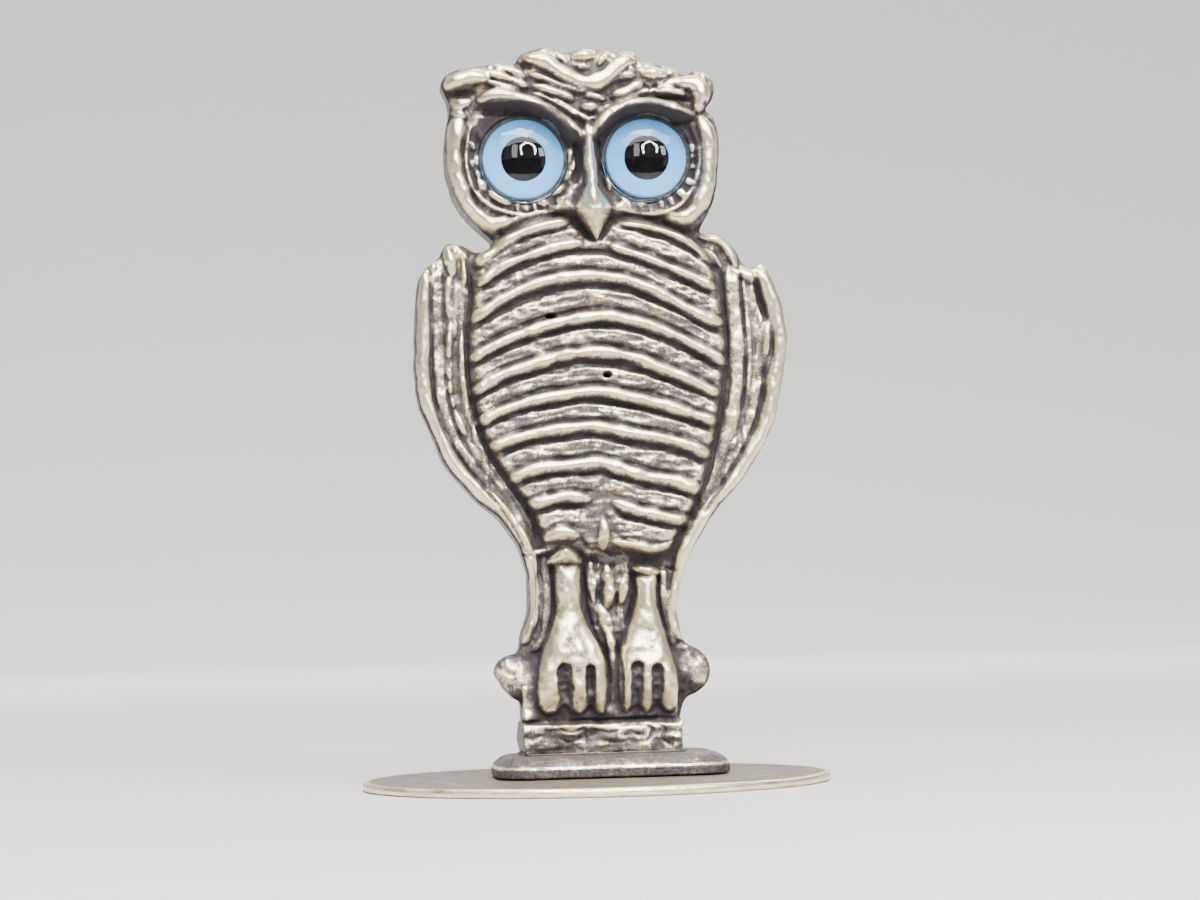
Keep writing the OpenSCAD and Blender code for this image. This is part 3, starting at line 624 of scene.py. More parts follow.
def feet(sheet):
    """Two shins that widen into feet hooked over the perch, with rough gaps between the toes."""
    heights, fronts = zip(*FEET_FRONT)
    front = np.interp(sheet.Z, heights, fronts) + 0.07 * sheet.grain(0.9, 46) + 0.05 * sheet.grain(0.3, 49)
    for ring in FEET:
        within = sheet.inside(smooth_ring(placed(ring, FEET_FORWARD)))
        sheet.raise_to(front - 0.45 * round_edge(within, 2.2) - 0.6 * round_edge(within, 0.9), within > 0)
    rough = 0.1 * sheet.grain(0.16, 47)
    for half, points in TOE_GAPS:
        window, gap, _, _ = sheet.along(smooth_line(placed(points, FEET_FORWARD)), 2 * half)
        bottom = front[window] - TOE_GAP_DEPTH + rough[window] + 0.5 * np.clip(gap / half, 0, 2) ** 2.2
        sheet.height[window] = np.minimum(sheet.height[window], bottom)


def roughen(sheet, seed, breast=0.0):
    """Casting texture: coarse in the low places and finer on the high ones, with streaks along the breast
    feathers and up and down elsewhere."""
    proud = step_between(sheet.height - sheet.bed, 0.15, 0.55)
    across, upright = sheet.grain(0.10, seed + 3, (6, 1)), sheet.grain(0.10, seed + 4, (1, 6))
    streaks = breast * across + (1 - breast) * upright
    coarse = 0.028 * sheet.grain(0.13, seed) + 0.04 * sheet.grain(0.35, seed + 1) + 0.065 * streaks
    fine = 0.016 * sheet.grain(0.16, seed + 2) + 0.028 * sheet.grain(0.45, seed + 5)
    sheet.height += coarse * (1 - proud) + fine * proud
    sheet.height = sheet.blur(sheet.height, 0.06)


def beak(sheet):
    """A four-sided beak with a ridge down its middle, hanging over the collar."""
    (tip_x, tip_z), (top_x, top_z) = placed([(1.15, 49.1), (0.75, 54.4)], 4.8)
    along = (sheet.Z - tip_z) / (top_z - tip_z)
    centre = tip_x + (top_x - tip_x) * along
    wide = np.interp(along, [-0.02, 0.02, 0.30, 0.56, 0.75, 1], [0.0, 0.2, 1.15, 1.95, 1.35, 0.45])
    across = np.abs(sheet.X - centre) / np.maximum(wide, 1e-6)
    crest = np.interp(along, [0, 0.12, 0.5, 1], [4.4, 4.8, 5.2, 4.7])
    rise = BEAK_SIDE + (crest - BEAK_SIDE) * (1 - np.clip(across, 0, 1) ** 1.6) ** 0.8
    rise += 0.035 * sheet.grain(0.14, 52) + 0.03 * sheet.grain(0.3, 53)
    sheet.raise_to(rise, (across < 1) & (along > -0.02) & (along < 1.0))


def perch(sheet):
    """The round perch, with a blunt knob at each end."""
    beyond = np.clip((np.abs(sheet.X - PERCH_X) - 8.0) / 2.3, 0, 1)
    radius = PERCH_R * np.sqrt(1 - beyond**2)
    radius += (0.10 * sheet.grain(0.7, 8) + 0.05 * sheet.grain(0.25, 48)) * (radius > 0)
    sheet.raise_to(np.sqrt(np.clip(radius**2 - (sheet.Z - PERCH_Z) ** 2, 0, None)) * (radius > 0.2))


def block(sheet, cracked):
    """The rough block under the perch."""
    seed = 9 if cracked else 29
    rough = 0.12 * sheet.grain(0.55, seed) + 0.04 * sheet.grain(0.2, seed + 1)
    rough += 0.07 * sheet.grain(0.14, seed + 2, (5, 1))
    top = BLOCK_TOP + 0.8 * rough
    face = BLOCK_FRONT + rough - 0.35 * step_between(sheet.Z, top - 0.5, top)
    sheet.height = np.where(sheet.Z < top, face, sheet.height)
    if cracked:
        for half, deep, points in CRACKS:
            sheet.groove(half, deep, placed(points, 3.4))


def back_half(sheet, inside):
    """Cuts the back: the ruff, the folded wings and the tail."""
    X, Z = sheet.X, sheet.Z
    head = step_between(Z, 48.2, 51)
    swell = 1 - ((X - 0.8) / 15) ** 2
    level = 1.9 + 0.5 * swell * (1 - head) + head * (0.5 + 0.5 * (1 - (X / 14) ** 2 - ((Z - 58) / 12) ** 2))
    level -= 0.5 * (1 - step_between(Z, 19.0, 22.5))
    level -= round_edge(inside, 1.5) * (0.6 + 0.4 * head)
    sheet.lay(level + 0.05 * sheet.grain(0.9, 23) + 0.035 * sheet.grain(0.3, 24))
    rng = np.random.default_rng(31)
    for half, tall, points in BACK:
        line = smooth_line(points)
        for offset in (-1.5 * half, 1.5 * half):
            sheet.ridge(0.16, 0.22, line + [offset, 0.3 * offset] + rng.normal(0, 0.03, line.shape))
        sheet.groove(half * 1.5, 0.35, points)
    for half, tall, points in BACK:
        sheet.ridge(half, tall, points)
    perch(sheet)
    block(sheet, False)
    roughen(sheet, 25)


def rubbed(sheet, eyes=()):
    """How far each place stands above what is round it, with painted shade and light added: 0 in a deep cut or
    the deepest painted shade, 1 on a rubbed high spot.
    """
    X, Z = sheet.X, sheet.Z
    fine = sheet.height - sheet.blur(sheet.height, 0.4)
    broad = sheet.height - sheet.blur(sheet.height, 1.1)
    wear_and_shade = 0.49 + 0.9 * fine + 0.42 * broad

    # Painted shade and light, partly patina: faces that look down are darker and faces that look up lighter, as
    # light from above falls on them, and steep faces that look to a side are darker too. Some of the darkness
    # on the undersides of the feathers is patina.
    across, slope = np.gradient(sheet.blur(sheet.height, 0.1), SHEET_STEP)
    wear_and_shade -= 0.15 * np.clip(slope, -0.8, 1.2) + 0.10 * np.clip(np.abs(across) - 0.5, 0, 1.5)

    # Some parts are darker or brighter all over
    # The knobs are darker all over, and a painted shade darkens them further towards their top and bottom,
    # where their round turns from the light.
    knob = step_between(np.abs(X - PERCH_X), 5.6, 6.6) * band(Z, PERCH_Z, 2.4, 0.4)
    wear_and_shade -= knob * (0.06 + 0.05 * (Z - PERCH_Z + 0.3) ** 2)
    body = step_between(Z, 20, 24) * (1 - step_between(Z, 47, 50))
    wings = step_between(np.abs(X - 1), 10.5, 12.5)
    strips = step_between(np.abs(X - 0.6), 4.9, 5.4) * band(Z, 16.2, 4.2)
    nose = band(X, 0.8, 2.2) * band(Z, 56.8, 2.6, 0.6)
    toe_tips = 1 - step_between(Z, 6.0, 8.5)
    # Next, the tail and the strips are set lighter, and the steep flanks of the ridge between the eyes get a
    # painted shade that also dims what they reflect.
    wear_and_shade += 0.12 * tail_mask(sheet) + 0.10 * strips - 0.4 * nose * np.clip(np.abs(across) - 0.4, 0, 1)
    wear_and_shade += 0.06 * step_between(Z, 60.5, 62.5) - 0.04 * (1 - step_between(Z, BLOCK_TOP, BLOCK_TOP + 0.4))
    wear_and_shade += body * (0.08 * wings - 0.035 * (1 - wings)) - 0.12 * toe_tips

    # Painted shade under the brows: the upper part of each eye bowl is darkest, and darker still where its
    # faces look down. Round the lower part of each eye the tongues are set brighter and the gaps between them
    # darker.
    for x, z in eyes:
        away = np.hypot(X - x, Z - z)
        upper = step_between((Z - z) / np.maximum(away, 1e-6), 0.1, 0.5)
        wear_and_shade -= 1.0 * upper * (1 - step_between(away, 4.9, 5.4))
        wear_and_shade -= 0.8 * upper * (1 - step_between(away, 6.0, 6.5)) * np.clip(slope, 0, 1)
        ring = (1 - upper) * (1 - step_between(away, 5.0, 5.4))
        wear_and_shade += ring * (0.43 + 2.3 * fine - wear_and_shade)
    return np.clip(wear_and_shade, -0.15, 0.92)


# How rubbed the casting's side walls are
WALL_RUB = 0.42
# The socket's radius, and how far above its floor the cement and the iris end
SOCKET_R = 4.1
CEMENT_T = 0.3
IRIS_TOP = 0.5


class EyePlace:
    """Where an eye sits: the middle of its socket's floor, and the way it looks."""

    def __init__(self, side, tilt):
        self.look = Vector((0, -math.cos(tilt), math.sin(tilt)))
        self.floor = Vector(middle_mm(side + "_eye_cement")) - self.look * CEMENT_T / 2
        self.turn = Matrix.Rotation(math.pi / 2 - tilt, 4, "X")

    def matrix(self):
        """From the eye's own millimetres, looking along +Z from its floor, to the frame's metres."""
        return Matrix.Scale(MM, 4) @ Matrix.Translation(self.floor) @ self.turn


def close_mould(front, back, inside, eyes):
    """The solid between the two halves, with a socket for each eye, as a mesh in millimetres."""
    every = round(MESH_STEP / SHEET_STEP)
    x, z = front.x[::every], front.z[::every]
    y = np.arange(*MOULD_DEPTH, MESH_STEP)
    halves = []
    for sheet, sign in ((front, -1), (back, 1)):
        slope = np.hypot(*np.gradient(sheet.height, SHEET_STEP))
        steep = np.sqrt(1 + slope**2)[::every, ::every]
        halves.append((sign * y[None, :, None] - sheet.height[::every, None, ::every]) / steep[:, None, :])
    field = np.maximum(np.maximum(*halves), -inside[::every, None, ::every])
    for eye in eyes:
        gap = [axis - at for axis, at in zip(np.ix_(x, y, z), eye.floor)]
        out = sum(g * a for g, a in zip(gap, eye.look))
        away = np.sqrt(np.maximum(sum(g * g for g in gap) - out * out, 0))
        field = np.maximum(field, -np.maximum(away - SOCKET_R, -out))
    grid = openvdb.FloatGrid(FIELD_REACH)
    grid.copyFromArray(np.clip(field, -FIELD_REACH, FIELD_REACH).astype(np.float32))
    points, quads = grid.convertToQuads(isovalue=0.0)
    return points * MESH_STEP + [x[0], y[0], z[0]], quads


def sample(sheet, field, points):
    """A sheet's field at the points' X and Z."""
    u = np.clip((points[:, 0] - sheet.x[0]) / SHEET_STEP, 0, len(sheet.x) - 1.001)
    v = np.clip((points[:, 2] - sheet.z[0]) / SHEET_STEP, 0, len(sheet.z) - 1.001)
    i, j = u.astype(int), v.astype(int)
    s, t = u - i, v - j
    return ((1 - s) * (1 - t) * field[i, j] + s * (1 - t) * field[i + 1, j]
            + (1 - s) * t * field[i, j + 1] + s * t * field[i + 1, j + 1])


# ---------------------------------------------------------------- making pieces


def new_object(name, data):
    thing = bpy.data.objects.new(name, data)
    bpy.context.scene.collection.objects.link(thing)
    return thing


def new_mesh(name, points, faces):
    mesh = bpy.data.meshes.new(name)
    mesh.from_pydata([tuple(p) for p in points], [], [tuple(f) for f in faces])
    return mesh


def quad_mesh(name, points, quads):
    """A mesh of quads from arrays, quickly."""
    mesh = bpy.data.meshes.new(name)
    mesh.vertices.add(len(points))
    mesh.vertices.foreach_set("co", np.asarray(points, np.float32).ravel())
    mesh.loops.add(quads.size)
    mesh.loops.foreach_set("vertex_index", quads.astype(np.int32).ravel())
    mesh.polygons.add(len(quads))
    mesh.polygons.foreach_set("loop_start", np.arange(0, quads.size, 4, dtype=np.int32))
    mesh.polygons.foreach_set("loop_total", np.full(len(quads), 4, np.int32))
    return mesh


def finish_piece(name, mesh, material, nodes, wear_and_shade=None):
    """A smooth-shaded piece that rides on the frame and stands for its CAD nodes."""
    mesh.update(calc_edges=True)
    mesh.validate()
    mesh.shade_smooth()
    if wear_and_shade is not None:
        mesh.attributes.new("wear_and_shade", "FLOAT", "POINT").data.foreach_set("value", np.asarray(wear_and_shade, np.float32))
    mesh.materials.append(material)
    piece = new_object(name, mesh)
    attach(piece, "root")
    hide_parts(*nodes)


def turned(profile, around, wobble=None):
    """Rings of points about Z, one for each radius and height of the profile."""
    points = []
    for r, z in profile:
        for k in range(around):
            a = 2 * math.pi * k / around
            scale = 1 + (wobble(a) if wobble else 0)
            points.append((r * scale * math.cos(a), r * scale * math.sin(a), z))
    return points


def bands(rings, around, first=0, closed=False):
    """Quads between each ring of points and the next, and from the last to the first if closed."""
    faces = []
    for k in range(rings if closed else rings - 1):
        a, b = first + k * around, first + (k + 1) % rings * around
        faces += [(a + i, a + (i + 1) % around, b + (i + 1) % around, b + i) for i in range(around)]
    return faces


def lathe(profile, around, wobble=None):
    """Points and faces of a closed solid turned about Z."""
    points = [(0, 0, profile[0][1])] + turned(profile, around, wobble) + [(0, 0, profile[-1][1])]
    faces = bands(len(profile), around, first=1)
    last = 1 + (len(profile) - 1) * around
    for k in range(around):
        nxt = (k + 1) % around
        faces += [(0, 1 + nxt, 1 + k), (last + k, last + nxt, len(points) - 1)]
    return np.array(points), faces


def arc_points(centre, radius, start, end, count):
    angles = np.radians(np.linspace(start, end, count))
    return [(centre[0] + radius * math.cos(a), centre[1] + radius * math.sin(a)) for a in angles]


# ---------------------------------------------------------------- materials


def new_group(name, inputs, outputs):
    """A node group with its sockets, and its nodes ready to be added."""
    group = bpy.data.node_groups.new(name, "ShaderNodeTree")
    for socket, kind, default in inputs:
        group.interface.new_socket(socket, in_out="INPUT", socket_type=kind).default_value = default
    for socket, kind in outputs:
        group.interface.new_socket(socket, in_out="OUTPUT", socket_type=kind)
    n = Nodes(group)
    return group, n, n.add("NodeGroupInput").outputs, n.add("NodeGroupOutput")


class Nodes:
    """Short ways to add and join shader nodes in one tree."""

    def __init__(self, tree):
        self.tree = tree

    def add(self, kind, inputs=None, **values):
        """A new node with its properties set and its inputs fed."""
        node = self.tree.nodes.new(kind)
        for key, value in values.items():
            setattr(node, key, value)
        self.feed(node, inputs or {})
        return node

    def feed(self, node, inputs):
        """Joins each named input to a socket, or sets its value."""
        for key, source in inputs.items():
            if isinstance(source, bpy.types.NodeSocket):
                self.tree.links.new(source, node.inputs[key])
            else:
                node.inputs[key].default_value = source

    def maths(self, operation, a, b=0.0):
        return self.add("ShaderNodeMath", {0: a, 1: b}, operation=operation).outputs[0]

    def about_zero(self, noise, amount):
        """Noise that is as often below zero as above it."""
        return self.maths("MULTIPLY", self.maths("SUBTRACT", noise, 0.5), amount)

    def spread(self, value, low, high, to_low=0.0, to_high=1.0):
        inputs = {"Value": value, "From Min": low, "From Max": high, "To Min": to_low, "To Max": to_high}
        return self.add("ShaderNodeMapRange", inputs, clamp=True).outputs["Result"]

    def blend(self, share, a, b):
        inputs = {"Factor": share, "A": a, "B": b}
        return self.add("ShaderNodeMix", inputs, data_type="RGBA").outputs["Result"]

    def place(self, stretch=(1, 1, 1), turn=0.0):
        """Object positions, scaled so that 1 is a millimetre, and stretched."""
        where = self.add("ShaderNodeTexCoord").outputs["Object"]
        inputs = {"Vector": where, "Scale": [s / MM for s in stretch], "Rotation": (0, 0, turn)}
        return self.add("ShaderNodeMapping", inputs).outputs["Vector"]

    def noise(self, vector, scale, detail=3.0, rough=0.5):
        inputs = {"Vector": vector, "Scale": scale, "Detail": detail, "Roughness": rough}
        return self.add("ShaderNodeTexNoise", inputs).outputs["Fac"]

    def bump(self, height, distance):
        """A bumped normal, with its height in metres."""
        return self.add("ShaderNodeBump", {"Distance": distance, "Height": height}).outputs["Normal"]


def patina_group():
    """Colour, roughness and fine height of old pewter, from how rubbed each place is and how much shade is
    painted on it.
    """
    if "Patina" in bpy.data.node_groups:
        return bpy.data.node_groups["Patina"]
    number, colour = "NodeSocketFloat", "NodeSocketColor"
    group, n, given, out = new_group(
        "Patina",
        [("WearAndShade", number, 0.5), ("Speckle", number, 0.3), ("Bright", colour, (1, 1, 1, 1)),
         ("Middle", colour, (0.5, 0.5, 0.5, 1)), ("Dark", colour, (0, 0, 0, 1)),
         ("Stain", colour, (0.3, 0.25, 0.1, 1))],
        [("Color", colour), ("Roughness", number), ("Metal", number), ("Height", number)],
    )
    where = n.place()
    fine = n.noise(where, 5.5, 4, 0.65)
    broad = n.noise(where, 0.9, 3, 0.6)
    flecks = n.noise(where, 2.6, 5, 0.7)
    tone = n.maths("ADD", given["WearAndShade"], n.about_zero(flecks, given["Speckle"]))
    tone = n.maths("ADD", tone, n.about_zero(fine, n.maths("MULTIPLY", given["Speckle"], 0.9)))
    tone = n.maths("ADD", tone, n.about_zero(broad, 0.30))
    base = n.blend(n.spread(tone, 0.12, 0.46), given["Dark"], given["Middle"])
    base = n.blend(n.spread(tone, 0.48, 0.76), base, given["Bright"])
    stained = n.spread(n.noise(where, 0.45, 4, 0.65), 0.50, 0.72, 0.0, 0.40)
    stained = n.maths("MULTIPLY", stained, n.spread(tone, 0.2, 0.5))
    base = n.blend(stained, base, given["Stain"])
    pits = n.spread(n.noise(where, 7.0, 2, 0.6), 0.60, 0.70, 0.0, 0.6)
    base = n.blend(n.maths("MULTIPLY", pits, given["Speckle"]), base, given["Dark"])
    n.feed(out, {
        "Color": base,
        "Roughness": n.maths("ADD", n.spread(tone, 0.1, 0.8, 0.60, 0.32), n.about_zero(fine, 0.12)),
        "Metal": n.spread(tone, 0.15, 0.5),
        "Height": n.maths("MULTIPLY", fine, n.spread(tone, 0.3, 0.8, 1.0, 0.5)),
    })
    return group


def scratches_group():
    """Fine scratches: a mask that is 1 along them, and their height."""
    if "Fine Scratches" in bpy.data.node_groups:
        return bpy.data.node_groups["Fine Scratches"]
    number = "NodeSocketFloat"
    group, n, given, out = new_group("Fine Scratches", [("Amount", number, 0.5)],
                                     [("Mask", number), ("Height", number)])
    masks = []
    directions = ((0.12, 0.05, 1.6, 4.0), (1.1, 0.06, 1.3, 3.4), (-0.7, 0.04, 1.1, 5.0))
    for turn, along, across, scale in directions:
        lines = n.noise(n.place((along, across, 1), turn), scale, 2, 0.5)
        masks.append(n.spread(n.maths("ABSOLUTE", n.maths("SUBTRACT", lines, 0.5)), 0.0, 0.022, 1.0, 0.0))
    patches = n.spread(n.noise(n.place(), 0.5, 2, 0.5), 0.42, 0.6)
    marks = n.maths("MAXIMUM", masks[0], n.maths("MAXIMUM", masks[1], masks[2]))
    marks = n.maths("MULTIPLY", n.maths("MULTIPLY", marks, patches), given["Amount"])
    n.feed(out, {"Mask": marks, "Height": n.maths("MULTIPLY", marks, -1.0)})
    return group


def bare_material(name):
    """A new material, its nodes, and the surface that its shader feeds."""
    material = bpy.data.materials.new(name)
    material.use_nodes = True
    material.node_tree.nodes.clear()
    n = Nodes(material.node_tree)
    return material, n, n.add("ShaderNodeOutputMaterial")


def times(colour, *factors):
    """A colour multiplied by one factor, or by one for each channel."""
    return [c * f for c, f in zip(colour, factors * 3 if len(factors) == 1 else factors)]


def pewter(name, bright, middle, dark, speckle=0.3, scratches=0.0, bump=0.00006):
    """Pewter with patina in its low places, painted shade and light from the same field that holds the wear,
    bright high spots and, where worn flat, fine scratches.
    """
    material, n, out = bare_material(name)
    patina = n.add("ShaderNodeGroup", node_tree=patina_group())
    wear_and_shade = n.add("ShaderNodeAttribute", attribute_name="wear_and_shade")
    n.feed(patina, {
        "WearAndShade": wear_and_shade.outputs["Fac"], "Speckle": speckle, "Bright": (*bright, 1), "Middle": (*middle, 1),
        "Dark": (*dark, 1), "Stain": (*times(bright, 0.50, 0.42, 0.28), 1)})
    colour, rough, metal, height = (patina.outputs[k] for k in ("Color", "Roughness", "Metal", "Height"))
    if scratches:
        marks = n.add("ShaderNodeGroup", node_tree=scratches_group())
        n.feed(marks, {"Amount": scratches})
        colour = n.blend(marks.outputs["Mask"], colour, (*dark, 1))
        height = n.maths("ADD", height, marks.outputs["Height"])
    shader = n.add("ShaderNodeBsdfPrincipled", {
        "Base Color": colour, "Roughness": rough, "Metallic": metal,
        "Specular IOR Level": n.maths("MULTIPLY", metal, 0.5), "Normal": n.bump(height, bump)})
    n.feed(out, {"Surface": shader.outputs[0]})
    return material


def clear_glass():
    """Polished glass that lets lamps reach the paint behind it."""
    material, n, out = bare_material("Clear Glass")
    smears = n.noise(n.place(), 0.6, 3, 0.6)
    glass = n.add("ShaderNodeBsdfPrincipled", {
        "Base Color": (1, 1, 1, 1), "Transmission Weight": 1.0, "IOR": 1.52, "Specular IOR Level": 0.25,
        "Roughness": n.spread(smears, 0.5, 0.8, 0.0, 0.03)})
    clear = n.add("ShaderNodeBsdfTransparent")
    lamps = n.add("ShaderNodeLightPath").outputs["Is Shadow Ray"]
    mix = n.add("ShaderNodeMixShader", {0: lamps, 1: glass.outputs[0], 2: clear.outputs[0]})
    n.feed(out, {"Surface": mix.outputs[0]})
    return material


def paint(name, colour, rough, uneven, shine=0.0):
    """Opaque paint, a little uneven. It has no shine of its own where it is bonded to glass."""
    material, n, out = bare_material(name)
    clouds = n.noise(n.place(), 1.2, 3, 0.5)
    specks = n.noise(n.place(), 7.0, 2, 0.5)
    shader = n.add("ShaderNodeBsdfPrincipled", {
        "Base Color": n.blend(n.spread(clouds, 0.35, 0.65), (*times(colour, 1 - uneven), 1), (*colour, 1)),
        "Roughness": n.spread(specks, 0.3, 0.7, rough - 0.06, rough + 0.06),
        "Specular IOR Level": shine, "Normal": n.bump(specks, 0.000008)})
    n.feed(out, {"Surface": shader.outputs[0]})
    return material


# ---------------------------------------------------------------- settings


class OwlSettings(bpy.types.PropertyGroup):
    """Sizes and colours of the owl."""

    bright: FloatVectorProperty(name="Rubbed metal", description="Colour of the metal on its rubbed high spots",
                                subtype="COLOR", default=(0.98, 0.88, 0.61), min=0, max=1)
    middle: FloatVectorProperty(name="Dull metal", description="Colour of the metal that hands don't rub",
                                subtype="COLOR", default=(0.132, 0.122, 0.121), min=0, max=1)
    # This colour also serves as the painted shade on the casting and on the foot.
    patina: FloatVectorProperty(name="Patina", description="Colour of the patina in the recesses",
                                subtype="COLOR", default=(0.046, 0.039, 0.042), min=0, max=1)
    iris: FloatVectorProperty(name="Iris", description="Colour of the painted iris",
                              subtype="COLOR", default=(0.115, 0.385, 0.76), min=0, max=1)
    iris_size: FloatProperty(name="Iris size", description="Diameter of the painted iris", unit="LENGTH",
                             default=0.0065, min=0.004, max=0.0078)
    pupil_size: FloatProperty(name="Pupil size", description="Diameter of the enamelled pupil",
                              unit="LENGTH", default=0.0035, min=0.002, max=0.005)
    eye_tilt: FloatProperty(name="Eye tilt", description="How far the eyes look up", subtype="ANGLE",
                            default=math.radians(5), min=0, max=math.radians(10))
    floor: FloatVectorProperty(name="Floor", description="Colour of the floor and backdrop",
                               subtype="COLOR", default=(0.50, 0.497, 0.488), min=0, max=1)
    lamp: FloatProperty(name="Lamp power", description="Power of the soft lamp overhead", subtype="POWER",
                        default=8.2, min=0)
    arch: FloatProperty(name="Arch lamp strength", description="Brightness of the arch-shaped lamp in front",
                        default=90.0, min=0)
    view_distance: FloatProperty(name="View distance", description="From the camera to the owl",
                                 unit="LENGTH", default=0.3, min=0.15)
    view_height: FloatProperty(name="View height", description="Height of the camera above the table",
                               unit="LENGTH", default=0.0163)
    view_turn: FloatProperty(name="View turn", description="How far to the owl's right the camera stands",
                             subtype="ANGLE", default=math.radians(6.5))
    view_roll: FloatProperty(name="View roll", description="How far the camera leans", subtype="ANGLE",
                             default=math.radians(1.45))


def settings():
    return bpy.context.scene.owl


# ---------------------------------------------------------------- pieces


def make_casting():
    s = settings()
    eyes = [EyePlace(side, s.eye_tilt) for side in SIDES]
    front, back = Sheet(), Sheet()
    inside = front.inside(smooth_ring(np.array(OUTLINE) + OUTLINE_SHIFT)) + 0.04 * front.grain(0.5, 2)
    centres = [middle_mm(side + "_eye_iris")[::2] for side in SIDES]
    front_half(front, inside, centres)
    back_half(back, inside)
    points, quads = close_mould(front, back, inside, eyes)
    front_wear_and_shade, back_wear_and_shade = rubbed(front, centres), rubbed(back)
    to_front = sample(front, front.height, points) + points[:, 1]
    to_back = points[:, 1] - sample(back, back.height, points)
    wear_and_shade = np.where(points[:, 1] < 0, sample(front, front_wear_and_shade, points), sample(back, back_wear_and_shade, points))
    wall = np.clip((np.minimum(np.abs(to_front), np.abs(to_back)) - 0.1) / 0.4, 0, 1)
    wear_and_shade = wear_and_shade * (1 - wall) + WALL_RUB * wall
    near = (np.abs(to_front) < 0.07) & (points[:, 1] < 0)
    points[near, 1] -= to_front[near]
    mesh = quad_mesh("owl_casting", points * MM, quads)
    material = pewter("Antique Pewter", s.bright, s.middle, s.patina, speckle=0.75)
    finish_piece("owl_cast", mesh, material, ["owl_casting"], wear_and_shade)


def uneven_disc(radius, low, high, uneven, seed):
    """A hand-painted disc: its edge wanders a little."""
    rng = np.random.default_rng(seed)
    waves = [(k, rng.normal(0, uneven / k), rng.uniform(0, 2 * math.pi)) for k in range(2, 9)]

    def wobble(a):
        return sum(size * math.sin(k * a + turn) for k, size, turn in waves)

    rim = min(0.03, (high - low) / 3)
    profile = [(radius * 0.5, low), (radius - rim, low), (radius, low + rim), (radius, high - rim),
               (radius - rim, high), (radius * 0.5, high)]
    return lathe(profile, 160, wobble)


def glass_dome(radius):
    """A domed glass with a low straight girdle, its back flat on the paint."""
    dome, girdle, edge = 2.0, 0.5, 0.12
    ball = (radius**2 + dome**2) / (2 * dome)
    reach = math.degrees(math.asin(radius / ball))
    back, top = IRIS_TOP - 0.02, IRIS_TOP + girdle
    profile = [(radius * 0.5, back), (radius - edge, back), (radius - 0.3 * edge, back + 0.3 * edge),
               (radius, back + edge), (radius, top)]
    return lathe(profile + arc_points((0, top + dome - ball), ball, 90 - reach, 90, 40)[1:-1], 160)


def make_eyes():
    """Both eyes: glass, painted iris, enamelled pupil and cement."""
    s = settings()
    glass, iris = clear_glass(), paint("Iris Paint", s.iris, 0.5, 0.05)
    enamel = paint("Black Enamel", (0.004, 0.004, 0.005), 0.2, 0.3)
    cement = paint("Cement", (0.03, 0.027, 0.026), 0.7, 0.4, shine=0.4)
    iris_r, pupil_r = s.iris_size / MM / 2, s.pupil_size / MM / 2
    for number, side in enumerate(SIDES):
        matrix = EyePlace(side, s.eye_tilt).matrix()
        low, high = size_mm(side + "_eye_glass")
        glass_r = (high[0] - low[0]) / 2
        for name, shape, material, slot in (
            ("glass", glass_dome(glass_r), glass, "clear_glass"),
            ("iris", uneven_disc(iris_r, CEMENT_T, IRIS_TOP, 0.012, 40 + number), iris, "blue_paint"),
            ("pupil", uneven_disc(pupil_r, IRIS_TOP - 0.08, IRIS_TOP + 0.008, 0.014, 50 + number), enamel,
             "black_enamel"),
            ("cement", uneven_disc(glass_r, 0.0, CEMENT_T, 0.01, 60 + number), cement, "cement"),
        ):
            points, faces = shape
            piece = f"{side}_{name}"
            mesh = new_mesh(piece, [matrix @ Vector(p) for p in points], faces)
            finish_piece(piece, mesh, material, [f"{side}_eye_{name}"])


def oblong(wide, deep, corner, count):
    """Evenly spaced points round an oblong with round corners, about its middle."""
    dx, dy = wide / 2 - corner, deep / 2 - corner
    ring = []
    for x, y, start in ((dx, dy, 0), (-dx, dy, 90), (-dx, -dy, 180), (dx, -dy, 270)):
        ring += arc_points((x, y), corner, start, start + 90, 16)
    ring = np.array(ring + ring[:1])
    return evenly(ring, count + 1)[:-1]


# How far in from the foot's outline its surface lies at each height
FOOT_PROFILE = [(0.25, 0), (0.06, 0.06), (0, 0.18), (0, 0.5), (0, 0.8), (0.05, 0.92), (0.16, 1.08),
                (0.36, 1.3), (0.62, 1.52), (0.92, 1.71), (1.22, 1.84), (1.5, 1.91), (1.9, 1.94), (2.4, 1.95)]


